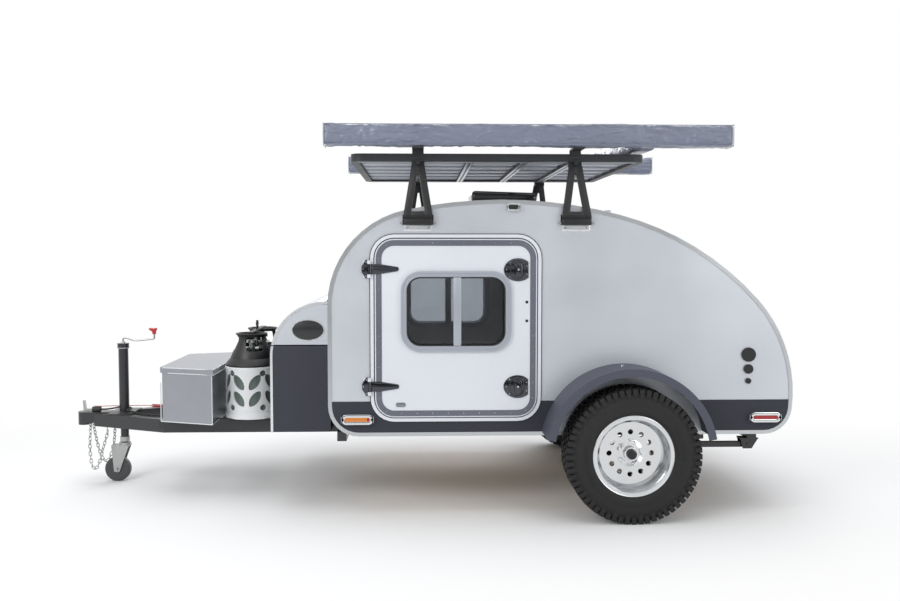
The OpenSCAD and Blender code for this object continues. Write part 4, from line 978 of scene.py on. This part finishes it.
def cut(made, cutters):
    bmesh.ops.recalc_face_normals(cutters, faces=cutters.faces)
    tool_mesh = bpy.data.meshes.new("cutters")
    cutters.to_mesh(tool_mesh)
    cutters.free()
    tool = bpy.data.objects.new("cutters", tool_mesh)
    scene.collection.objects.link(tool)
    boolean = made.modifiers.new("cut", "BOOLEAN")
    boolean.object = tool
    boolean.solver = "EXACT"
    boolean.use_self = True
    bake(made)
    bpy.data.objects.remove(tool)
    for face in made.data.polygons:
        face.use_smooth = True
    made.data.set_sharp_from_angle(angle=math.radians(35))


def leaf_cutter(bm, angle, z, width, tall, slant, reach):
    points = []
    for k in range(16):
        a = 2 * math.pi * k / 16
        u = width / 2 * math.sin(a) * abs(math.sin(a)) ** 0.3
        v = tall / 2 * math.cos(a)
        points.append((u * math.cos(slant) - v * math.sin(slant),
                       u * math.sin(slant) + v * math.cos(slant)))
    before = set(bm.verts)
    face = bm.faces.new([bm.verts.new((u * MM, -(reach - 20) * MM, v * MM)) for u, v in points])
    raised = bmesh.ops.extrude_face_region(bm, geom=[face])["geom"]
    bmesh.ops.translate(bm, vec=(0, -40 * MM, 0),
                        verts=[g for g in raised if isinstance(g, bmesh.types.BMVert)])
    fresh = [v for v in bm.verts if v not in before]
    bmesh.ops.transform(bm, matrix=Matrix.Translation((0, 0, z * MM))
                        @ Matrix.Rotation(angle, 4, "Z"), verts=fresh)


def lathe(bm, profile, steps, closed=True):
    points = [bm.verts.new((r * MM, 0, z * MM)) for r, z in profile]
    pairs = zip(points, points[1:] + points[:1]) if closed else zip(points, points[1:])
    edges = [bm.edges.new(pair) for pair in pairs]
    bmesh.ops.spin(bm, geom=points + edges, cent=(0, 0, 0), axis=(0, 0, 1),
                   angle=2 * math.pi, steps=steps, use_merge=True)


print("cylinders", round(2 * gas_r), "mm across")

# %% [markdown]
# ## Gas cylinders
# A fibre vessel stands in a white moulded casing with leaf-shaped windows, turned alternately as
# the moulding has them, and a black collar guards its valve. The collar is a bell with three
# tall openings, and the valve is a few plain turned pieces, because little of it shows.

# %% Casings, collars and valves
LEAVES = 10            # leaf-shaped windows in each of two rows
LEAF_TURN = 0.28       # where the first leaf stands, in radians
LEAF_SLANT = 0.62
z0, z1 = case_low.z, case_high.z
c0, c1 = collar_low.z, collar_high.z
for side, name in ((-1, "left"), (1, "right")):
    at = Vector((gas_x, side * gas_y, 0)) * MM
    bm = bmesh.new()
    lathe(bm, [(gas_r, z0 + 3), (gas_r, z0 + 28), (gas_r - 4, z0 + 31), (gas_r - 4, z0 + 48),
               (gas_r - 1, z0 + 52), (gas_r - 1, z1 - 16), (gas_r, z1 - 12), (gas_r, z1 - 3),
               (gas_r - 3, z1), (gas_r - 9, z1), (gas_r - 9, z0), (gas_r - 3, z0)], 96)
    casing = mesh_piece(f"casing_{name}", bm, FINISH["casing_white"], "trailer",
                        ["cylinder_casings"])
    cutters = bmesh.new()
    for k in range(LEAVES):
        angle = 2 * math.pi * k / LEAVES + LEAF_TURN
        slant = LEAF_SLANT if k % 2 else -LEAF_SLANT
        for z in (z0 + 118, z0 + 212):
            leaf_cutter(cutters, angle, z, 52, 104, slant, gas_r)
    for k in range(0, LEAVES, 2):
        angle = 2 * math.pi * (k + 0.5) / LEAVES + LEAF_TURN
        for z in (z0 + 66, z1 - 34):
            leaf_cutter(cutters, angle, z, 40, 36, 0.0, gas_r)
    cut(casing, cutters)
    casing.data.transform(Matrix.Translation(at))
    bm = bmesh.new()
    lathe(bm, [(gas_r - 12, z1 - 4), (gas_r - 4, z1), (gas_r - 2, z1 + 8), (gas_r - 10, z1 + 22),
               (122, collar_low.z + 10), (119, collar_low.z + 8), (gas_r - 16, z1 + 12),
               (gas_r - 18, z1 - 4)], 64)
    bmesh.ops.translate(bm, vec=at, verts=bm.verts)
    mesh_piece(f"shoulder_{name}", bm, FINISH["black_moulding"], "trailer")
    bm = bmesh.new()
    lathe(bm, [(122, c0), (120, c0 + 16), (108, c0 + 44), (90, c0 + 84), (80, c0 + 112),
               (78, c0 + 130), (84, c0 + 142), (90, c1 - 6), (90, c1), (82, c1), (76, c0 + 142),
               (70, c0 + 130), (72, c0 + 112), (82, c0 + 84), (100, c0 + 44), (112, c0 + 16),
               (114, c0)], 64)
    collar = mesh_piece(f"collar_{name}", bm, FINISH["black_moulding"], "trailer",
                        ["cylinder_collars"])
    cutters = bmesh.new()
    for turn in (0.4, 2.5, 4.6):
        before = set(cutters.verts)
        add_box(cutters, (-50, -160, c0 + 52), (50, -40, c0 + 134), 16, 3)
        fresh = [v for v in cutters.verts if v not in before]
        bmesh.ops.rotate(cutters, verts=fresh, cent=(0, 0, 0), matrix=Matrix.Rotation(turn, 3, "Z"))
    cut(collar, cutters)
    collar.data.transform(Matrix.Translation(at))
    bm = bmesh.new()
    x, y = gas_x, side * gas_y
    add_rod(bm, (x, y, c0 + 20), (x, y, c0 + 74), 20, 24)
    add_rod(bm, (x, y, c0 + 74), (x, y, c0 + 96), 14, 16)
    add_rod(bm, (x - 46, y, c0 + 62), (x + 40, y, c0 + 62), 11, 16)
    add_rod(bm, (x, y - 34, c0 + 70), (x, y + 34, c0 + 70), 8, 16)
    add_rod(bm, (x, y, c0 + 96), (x, y, c0 + 112), 30, 32)
    mesh_piece(f"valve_{name}", bm, FINISH["zinc_plate"], "trailer")
print("casing windows per side:", 2 * LEAVES)

# %% [markdown]
# ## Jack crank and caster
# The crank is one bent rod with a red moulded grip, broad at the top where the palm turns it.
# A rounded tube along a few bend points gives the soft bends of a cold-bent bar. The grip is a
# tapered block with a notch. Caster parts are turned: collar, axle bolt and hub cap.

# %% Crank, grip, caster and jack fittings
jack_low, jack_high = (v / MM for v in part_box("jack_tube"))
crank_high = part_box("jack_crank")[1] / MM
jack_x = (jack_low.x + jack_high.x) / 2
grip_x = crank_high.x - 15
grip_foot = crank_high.z - 36
JACK_BENDS = [(0, -4), (0, 20), (3, 30), (14, 32), (40, 25), (62, 17), (100, 17)]
GRIP_BENDS = [(-16, 24), (-3, 27), (0, 36)]
bends = [(jack_x + u, 0, jack_high.z + v) for u, v in JACK_BENDS]
bends += [(grip_x + u, 0, jack_high.z + v) for u, v in GRIP_BENDS]
bends += [(grip_x, 0, grip_foot + 4)]
tube("crank_rod", smooth(bends, 6), 5.5, FINISH["zinc_plate"], "jack_crank", ["jack_crank"])
bm = bmesh.new()
grip = [(grip_x - 9, grip_foot), (grip_x + 9, grip_foot), (grip_x + 9, grip_foot + 14),
        (grip_x + 15, crank_high.z - 9), (grip_x + 15, crank_high.z), (grip_x + 5, crank_high.z),
        (grip_x, crank_high.z - 4), (grip_x - 5, crank_high.z), (grip_x - 29, crank_high.z),
        (grip_x - 29, crank_high.z - 9), (grip_x - 9, grip_foot + 14)]
plate(bm, -1, grip, -11, 11, bevel=2)
mesh_piece("crank_grip", bm, FINISH["red_handle"], "jack_crank")
rods("crank_collar", [[(jack_x, 0, jack_high.z - 1), (jack_x, 0, jack_high.z + 9)]], 13,
     FINISH["chrome_plate"], "jack_crank", 24)
fork_low, fork_high = (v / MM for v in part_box("caster_fork"))
cast_low, cast_high = (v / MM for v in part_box("caster_wheel"))
leg_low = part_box("jack_leg")[0] / MM
cast_x, cast_z = (cast_low.x + cast_high.x) / 2, (cast_low.z + cast_high.z) / 2
rods("leg_collar", [[(jack_x, 0, leg_low.z + 2), (jack_x, 0, leg_low.z + 30)]], 28,
     FINISH["zinc_plate"], "jack_leg", 32)
rods("caster_bolts", [[(cast_x, fork_low.y - 1, cast_z), (cast_x, fork_low.y - 9, cast_z)],
                      [(cast_x, fork_high.y + 1, cast_z), (cast_x, fork_high.y + 9, cast_z)]],
     9, FINISH["zinc_plate"], "caster_fork", 6)
rods("caster_hub", [[(cast_x, cast_low.y - 1.5, cast_z), (cast_x, cast_high.y + 1.5, cast_z)]],
     19, FINISH["zinc_plate"], "caster_wheel", 32)
rods("jack_head_ring", [[(jack_x, 0, jack_high.z - 30), (jack_x, 0, jack_high.z - 25)]], 34.5,
     FINISH["zinc_plate"], "trailer", 40)

# %% [markdown]
# ## Safety chains
# Each chain is a run of welded links, every one turned a quarter against the last. A link is a
# ring, spun once and then pulled apart along its middle so that it gets straight sides. The
# links follow a hanging line from the coupler and back up to it.

# %% Safety chains
HANG = [(78, -28, 357.4), (78, -28, 344), (78, -28, 330), (84, -60, 225), (100, -86, 130),
        (124, -96, 98), (150, -100, 130), (174, -96, 220), (190, -68, 300), (190, -68, 320),
        (190, -68, 339.4)]
LINK_PITCH = 22
LINK_WIRE = 2.6
LINK_HALF = 7.5       # half the inner width, to the middle of the wire


def link(bm, centre, along, turn):
    before = set(bm.verts)
    ring = bmesh.ops.create_circle(bm, segments=8, radius=LINK_WIRE * MM,
                                   matrix=Matrix.Translation((LINK_HALF * MM, 0, 0))
                                   @ Matrix.Rotation(math.pi / 2, 4, "X"))["verts"]
    edges = {e for v in ring for e in v.link_edges}
    bmesh.ops.spin(bm, geom=list(ring) + list(edges), cent=(0, 0, 0), axis=(0, 0, 1),
                   angle=2 * math.pi, steps=20, use_merge=True)
    fresh = [v for v in bm.verts if v not in before]
    for v in fresh:
        if abs(v.co.x) > 0.0001:
            v.co.x += math.copysign((LINK_PITCH / 2 - LINK_HALF + LINK_WIRE) * MM, v.co.x)
    frame_turn = along.to_track_quat("X", "Z").to_matrix().to_4x4()
    bmesh.ops.transform(bm, matrix=Matrix.Translation(centre * MM) @ frame_turn
                        @ Matrix.Rotation(turn, 4, "X"), verts=fresh)


for side, name in ((1, "left"), (-1, "right")):
    path = smooth([(nose + x, side * y, z) for x, y, z in HANG], 10)
    bm = bmesh.new()
    for k, (spot, along) in enumerate(evenly(path, LINK_PITCH, 0.5)):
        link(bm, spot, along.normalized(), math.pi / 2 * (k % 2) + 0.4)
    mesh_piece(f"safety_chain_{name}", bm, FINISH["zinc_plate"], "trailer", ["safety_chains"])
print("chain links per side:", k + 1)

# %% [markdown]
# ## Nose box edges and badge
# A pale extrusion follows the nose box from its foot over the curve of the lid, split where the
# lid opens. A blank oval plate sits on each cheek of the lid.

# %% Nose box edges
cheek_low, cheek_high = (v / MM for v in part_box("nose_box"))
NOSE_R = 293
NOSE_TOP = 1115            # the sheet's top, below the knuckles of the lid's hinge
NOSE_FOOT = 418
BODY_FRONT = -455.5        # front wall of the body, behind the nose box
SPLIT_LOW, SPLIT_HIGH = 879, 885
BADGE_X, BADGE_Z = -572, 963
EDGE = 13
EDGE_TALL = 2.5            # how far a trim stands off the cheek
nose_front = cheek_low.x
arc_x, arc_z = nose_front + NOSE_R, NOSE_TOP - NOSE_R


def nose_arc(radius, first, last, steps=24):
    found = []
    for i in range(steps + 1):
        a = first + (last - first) * i / steps
        found.append((arc_x - radius * math.cos(a), arc_z + radius * math.sin(a)))
    return found


foot_turn = math.asin((SPLIT_LOW - arc_z) / NOSE_R)
hood_turn = math.asin((SPLIT_HIGH - arc_z) / NOSE_R)
half = cheek_high.y
oval = [(BADGE_X + 86 * math.cos(t), BADGE_Z + 56 * math.sin(t))
        for t in (2 * math.pi * k / 48 for k in range(48))]
for side, name in ((-1, "left"), (1, "right")):
    outer = [(nose_front, NOSE_FOOT)] + nose_arc(NOSE_R, 0, foot_turn, 5)
    inner = [(nose_front + EDGE, NOSE_FOOT)] + nose_arc(NOSE_R - EDGE, 0, foot_turn, 5)
    plate_piece(f"nose_edge_{name}", side, outer + inner[::-1], half - 1, half + EDGE_TALL,
                "bright_hem", "trailer")
    outer = nose_arc(NOSE_R, hood_turn, math.pi / 2) + [(BODY_FRONT - 3, NOSE_TOP)]
    inner = nose_arc(NOSE_R - EDGE, hood_turn, math.pi / 2) + [(BODY_FRONT - 3, NOSE_TOP - EDGE)]
    plate_piece(f"hood_edge_{name}", side, outer + inner[::-1], half - 1, half + EDGE_TALL,
                "bright_hem", "nose_box_lid")
    plate_piece(f"hood_badge_{name}", side, oval, half - 1, half + EDGE_TALL, "jack_enamel",
                "nose_box_lid", bevel=1)
    plate_piece(f"hood_badge_rim_{name}", side, oval, half + 2.4, half + 3.2, "bright_hem",
                "nose_box_lid", 3)
print("nose box edges, cheek at", round(half), "mm")

# %% [markdown]
# ## Lamps
# Every lamp sits in a plated bezel, pressed from thin sheet with a rolled rim. The bezel is a
# plate with a window in it; the lens stays the mechanical piece behind it.

# %% Lamp bezels
def stadium(x, z, width, height):
    return rounded_outline(x, z, width, height, height / 2 - 0.1, 10)


LAMP_X, LAMP_Z = (-302.5, 1843.5), 508
PORCH_X, PORCH_Z = 506.5, 1610
LAMP_BACK = WALL + 3       # the lamps sit on a thin rubber pad
lamp_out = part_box("amber_lamps")[1].y / MM
porch_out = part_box("porch_lamps")[1].y / MM
print("lamps reach", round(lamp_out), round(porch_out))
for side, name in ((-1, "left"), (1, "right")):
    bezels, marks = bmesh.new(), bmesh.new()
    for x in LAMP_X:
        plate(bezels, side, stadium(x, LAMP_Z, 166, 54), LAMP_BACK, lamp_out + 2, ring=17,
              bevel=2)
        plate(marks, side, rounded_outline(x + 56, LAMP_Z, 12, 18, 4), LAMP_BACK + 5,
              lamp_out + 1, bevel=1)
    plate(bezels, side, stadium(PORCH_X, PORCH_Z, 72, 42), WALL, porch_out + 2, ring=9, bevel=2)
    mesh_piece(f"side_bezels_{name}", bezels, FINISH["chrome_plate"], "trailer")
    mesh_piece(f"lamp_marks_{name}", marks, FINISH["red_lens"], "trailer")
    plate_piece(f"porch_shade_{name}", side, stadium(PORCH_X, PORCH_Z, 56, 26), WALL + 4,
                porch_out + 1, "black_moulding", "trailer", bevel=2)

# %% [markdown]
# ## Rack
# Slats and cross bars are bare extrusions between painted rails, so they read lighter from
# below. Thin faces laid on the rack show the bare metal, and fine ribs run along the rails as
# the die left them.

# %% Rack details
FINISH["slat_aluminium"] = finish("slat_aluminium", "#B9BCC3", 0.40, metal=0.3, grain=2.0,
                                  relief=0.02, stretch=(0.1, 1, 1))
FINISH["bar_aluminium"] = finish("bar_aluminium", "#B8BBC0", 0.30, metal=0.8, grain=2.0)
RAIL = 40
RACK_FRONT, RACK_BACK = rack_low.x, rack_low.x + RACK_LONG
RACK_HALF, RACK_LOW = 726, 1848
PLANKS, PLANK_W = 6, 185
BARS = (470, 745, 1035, 1290)
inner = RACK_HALF - RAIL
bm = bmesh.new()
for k in range(PLANKS):
    y = -inner + 2 * inner * (k + 0.5) / PLANKS
    add_box(bm, (RACK_FRONT + RAIL + 1, y - PLANK_W / 2 + 1.5, RACK_LOW + 17.6),
            (RACK_BACK - RAIL - 1, y + PLANK_W / 2 - 1.5, RACK_LOW + 19.4))
    for edge in (-1, 1):
        add_box(bm, (RACK_FRONT + RAIL + 1, y + edge * (PLANK_W / 2 - 3) - 2.5, RACK_LOW + 12),
                (RACK_BACK - RAIL - 1, y + edge * (PLANK_W / 2 - 3) + 2.5, RACK_LOW + 18), 0.8, 1)
mesh_piece("slat_faces", bm, FINISH["slat_aluminium"], "trailer")
bm = bmesh.new()
for bar in BARS:
    x = BODY_FRONT + bar
    for dx in (-12, 12):
        add_box(bm, (x + dx - 7, -inner + 2, RACK_LOW - 3),
                (x + dx + 7, inner - 2, RACK_LOW + 1), 1)
for y in (-1, 1):
    add_box(bm, (RACK_FRONT + RAIL, y * (inner - 8) - 6, RACK_LOW - 2),
            (RACK_BACK - RAIL, y * (inner - 8) + 6, RACK_LOW + 2), 1)
mesh_piece("bar_faces", bm, FINISH["bar_aluminium"], "trailer")
bm = bmesh.new()
for y in (-1, 1):
    for z in (RACK_LOW + 10, RACK_LOW + 30):
        add_rod(bm, (RACK_FRONT + 62, y * 725.6, z), (RACK_BACK - 62, y * 725.6, z), 2.2, 8)
mesh_piece("rail_ribs", bm, FINISH["rack_powder"], "trailer")
print("planks:", PLANKS, "bars:", len(BARS))

# %% [markdown]
# ## Rack towers
# Each tower is a cast triangle that leans in from the wall to the rack. It stands on a ribbed
# rubber foot and a bright plate that is bolted to the wall. Legs, web and head are plates drawn
# upright and leant over together, so that they stay in one plane.

# %% Towers, plates, bolts and feet
TOWER_X = (BODY_FRONT + BARS[0], BODY_FRONT + BARS[3])
TOWER_FOOT, TOWER_LEAN = 1556, math.radians(12.4)
tower_tall = (RACK_LOW - TOWER_FOOT) / math.cos(TOWER_LEAN)
TOWER_LEG = [(-76, 1), (-34, 1), (-34, 36), (-5, tower_tall - 74), (-5, tower_tall - 4),
             (-31, tower_tall - 4)]
TOWER_WEB = [(-36, 1), (36, 1), (36, 30), (-36, 30)]
TOWER_HEAD = [(-8, tower_tall - 72), (8, tower_tall - 72), (8, tower_tall - 4),
              (-8, tower_tall - 4)]
FOOT_RIBS = 15
for side, name in ((-1, "left"), (1, "right")):
    plates, bolts, ribs = bmesh.new(), bmesh.new(), bmesh.new()
    for x in TOWER_X:
        plate(plates, side, rounded_outline(x, 1507, 148, 44, 5), WALL, WALL + 3, bevel=1)
        for dx in (-56, 56):
            screw(bolts, side, x + dx, 1502, WALL + 2.5, 7, 5, 6)
        for dx in (-86, 86):
            add_rod(bolts, (x + dx - 7, side * 778, 1528), (x + dx + 7, side * 778, 1528), 6, 6)
        for k in range(FOOT_RIBS):
            rib = x - 63 + 9 * k
            add_box(ribs, (rib - 2.4, min(side * 794, side * 800), 1550),
                    (rib + 2.4, max(side * 794, side * 800), 1568), 1, 1)
        add_box(ribs, (x - 74, min(side * 768, side * 795), 1517),
                (x + 74, max(side * 768, side * 795), 1550), 5, 3)
        add_rod(ribs, (x, side * 760, 1840), (x, side * 742, 1840), 12, 24)
    legs = bmesh.new()
    for x in TOWER_X:
        before = set(legs.verts)
        mirrored = [(-u, v) for u, v in TOWER_LEG[::-1]]
        for outline in (TOWER_LEG, mirrored, TOWER_WEB, TOWER_HEAD):
            plate(legs, -1, outline, -9.5, 9.5, bevel=1.5)
        fresh = [v for v in legs.verts if v not in before]
        lean = Matrix.Translation(Vector((x, side * 790, TOWER_FOOT)) * MM) \
            @ Matrix.Rotation(side * TOWER_LEAN, 4, "X")
        bmesh.ops.transform(legs, matrix=lean, verts=fresh)
    mesh_piece(f"tower_legs_{name}", legs, FINISH["tower_powder"], "trailer")
    mesh_piece(f"tower_plates_{name}", plates, FINISH["bright_hem"], "trailer")
    mesh_piece(f"tower_bolts_{name}", bolts, FINISH["zinc_plate"], "trailer")
    mesh_piece(f"tower_feet_{name}", ribs, FINISH["tower_powder"], "trailer")
print("towers at", [round(x) for x in TOWER_X])

# %% [markdown]
# ## Vent dome, fender studs and port caps
# A few bought-in parts finish the body: a smoked dome on the roof vent that falls away along its
# length, one plated stud on each fender and a moulded cap over the upper port of each side. The
# dome is a box with round edges whose top points are lowered by a curve.

# %% Small fittings
DOME_FALL = 12
vent_low, vent_high = (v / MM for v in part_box("vent_lid"))
bm = bmesh.new()
add_box(bm, vent_low, vent_high, 24, 5)
for v in bm.verts:
    reach = (v.co.x / MM - vent_low.x) / (vent_high.x - vent_low.x)
    if v.co.z / MM > (vent_low.z + vent_high.z) / 2:
        v.co.z -= DOME_FALL * MM * reach ** 2
mesh_piece("vent_dome", bm, FINISH["smoked_acrylic"], "vent_lid", ["vent_lid"], angle=60)
STUD_X, STUD_Y = 1060, 880
PORT_X, PORT_Z = 1754.5, 838
rods("fender_studs", [[(STUD_X, y, 790.5), (STUD_X, y, 800)] for y in (-STUD_Y, STUD_Y)], 9,
     FINISH["chrome_plate"], "trailer", 24)
rods("port_caps", [[(PORT_X, side * (WALL + 1), PORT_Z), (PORT_X, side * (WALL + 8), PORT_Z)]
                   for side in (-1, 1)], 26, FINISH["black_moulding"], "trailer", 32)
print("small fittings done")

# %% [markdown]
# ## Rolled skins
# The roof, the hatch, the nose lid and the fenders are rolled from one sheet each, so light runs
# over them without a break. The mechanical model holds them as narrow flats. A copy with its
# points joined and its gentle edges smoothed keeps the exact shape and loses the flats.

# %% Rolled skins
def rolled(item, body, finish_name, angle=30):
    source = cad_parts[item]
    mesh = source.data.copy()
    if "custom_normal" in mesh.attributes:
        mesh.attributes.remove(mesh.attributes["custom_normal"])
    bm = bmesh.new()
    bm.from_mesh(mesh)
    return mesh_piece(f"{item}_skin", bm, FINISH[finish_name], body, [item], angle, 0.00005)


rolled("roof_shell", "trailer", "satin_aluminium_skin")
rolled("galley_hatch", "galley_hatch", "satin_aluminium_skin")
rolled("nose_box_lid", "nose_box_lid", "satin_aluminium_skin")
rolled("fenders", "trailer", "fender_powder")
rolled("edge_trims", "trailer", "extruded_aluminium")
print("skins rolled")

# %% [markdown]

# %% [markdown]
# ## Studio
# The trailer stands in a white studio with four large soft boxes: the key from the front left,
# a weaker fill from the right, one overhead and one behind. Their size against the trailer is
# what keeps the shadows soft.

# %% Soft boxes
def soft_box(name, place, aim, size, power):
    lamp = bpy.data.lights.new(name, "AREA")
    lamp.shape = "RECTANGLE"
    lamp.size, lamp.size_y = size
    lamp.energy = power
    made = bpy.data.objects.new(name, lamp)
    scene.collection.objects.link(made)
    made.location = place
    made.rotation_euler = (Vector(aim) - Vector(place)).to_track_quat("-Z", "Y").to_euler()


soft_box("key", (-3.6, -4.6, 3.6), (0, 0, 0.8), (3.0, 2.4), 135)
soft_box("fill", (4.4, -4.2, 2.4), (0.4, 0, 0.8), (3.0, 3.0), 50)
soft_box("top", (0, 0, 5.2), (0, 0, 0), (6.0, 4.0), 120)
soft_box("back", (1.0, 5.2, 3.4), (0, 0, 0.8), (5.0, 2.4), 120)
print("soft boxes:", 4)

# %% [markdown]
# ## Dark boards
# In an all-white room polished metal looks like white paint. Photographers stand dark boards
# beside the camera, so that the metal has something to reflect. These three are seen only in
# reflections and throw no shadow.

# %% Boards
def dark_board(name, low, high):
    bm = bmesh.new()
    add_box(bm, low, high)
    mesh = bpy.data.meshes.new(name)
    bm.to_mesh(mesh)
    bm.free()
    board = bpy.data.objects.new(name, mesh)
    scene.collection.objects.link(board)
    mesh.materials.append(black_felt)
    for ray in ("camera", "diffuse", "transmission", "shadow", "volume_scatter"):
        setattr(board, "visible_" + ray, False)


black_felt = finish("black_felt", "#0A0B0D", 0.95)
dark_board("board_low", (-7000, -9020, 60), (7000, -9000, 1500))
dark_board("board_high", (-2600, -9020, 2500), (6500, -9000, 3300))
dark_board("board_side", (-8600, -7000, 100), (-8580, -3000, 2600))
print("boards: 3")

# %% [markdown]
# ## World and floor
# The world shows plain white to the eye, in reflections and through glass, and lights the scene
# more gently. The floor is matt near the trailer, where its shadow lies, and turns to plain
# white farther out, so no horizon shows.

# %% World and floor
def seen_rays(tree):
    path = node(tree, "ShaderNodeLightPath")
    eye = node(tree, "ShaderNodeMath", {0: path.outputs["Is Camera Ray"],
                                        1: path.outputs["Is Glossy Ray"]}, operation="MAXIMUM")
    return node(tree, "ShaderNodeMath", {0: eye.outputs[0],
                                         1: path.outputs["Is Transmission Ray"]},
                operation="MAXIMUM").outputs[0]


world = bpy.data.worlds.new("studio")
scene.world = world
world.use_nodes = True
sky = world.node_tree
sky.nodes.clear()
strength = node(sky, "ShaderNodeMapRange", {"Value": seen_rays(sky), "To Min": 0.55,
                                            "To Max": 1.0})
air = node(sky, "ShaderNodeBackground", {"Color": (1, 1, 1, 1), "Strength": strength.outputs[0]})
node(sky, "ShaderNodeOutputWorld", {"Surface": air.outputs[0]})

FLOOR_HALF = 30
FLOOR_FALL = (0.30, 0.62, 1.0)   # the white starts farther out along the trailer than across
floor_bm = bmesh.new()
bmesh.ops.create_grid(floor_bm, x_segments=1, y_segments=1, size=FLOOR_HALF)
floor_mesh = bpy.data.meshes.new("floor")
floor_bm.to_mesh(floor_mesh)
floor_bm.free()
floor = bpy.data.objects.new("floor", floor_mesh)
scene.collection.objects.link(floor)
paint = bpy.data.materials.new("studio_floor")
paint.use_nodes = True
tree = paint.node_tree
tree.nodes.clear()
spot = node(tree, "ShaderNodeTexCoord").outputs["Object"]
far = node(tree, "ShaderNodeVectorMath", {0: spot, 1: FLOOR_FALL}, operation="MULTIPLY")
reach = node(tree, "ShaderNodeVectorMath", {0: far.outputs[0]}, operation="LENGTH")
fade = node(tree, "ShaderNodeMapRange", {"Value": reach.outputs["Value"], "From Min": 0.55,
                                         "From Max": 1.6}, interpolation_type="SMOOTHSTEP")
seen = node(tree, "ShaderNodeMath", {0: fade.outputs[0], 1: seen_rays(tree)},
            operation="MULTIPLY")
matt = node(tree, "ShaderNodeBsdfDiffuse", {"Color": linear("#F6F7F8")})
white = node(tree, "ShaderNodeEmission", {"Color": (1, 1, 1, 1), "Strength": 1.0})
mixed = node(tree, "ShaderNodeMixShader", {0: seen.outputs[0], 1: matt.outputs[0],
                                           2: white.outputs[0]})
node(tree, "ShaderNodeOutputMaterial", {"Surface": mixed.outputs[0]})
floor_mesh.materials.append(paint)
print("floor:", 2 * FLOOR_HALF, "metres wide")
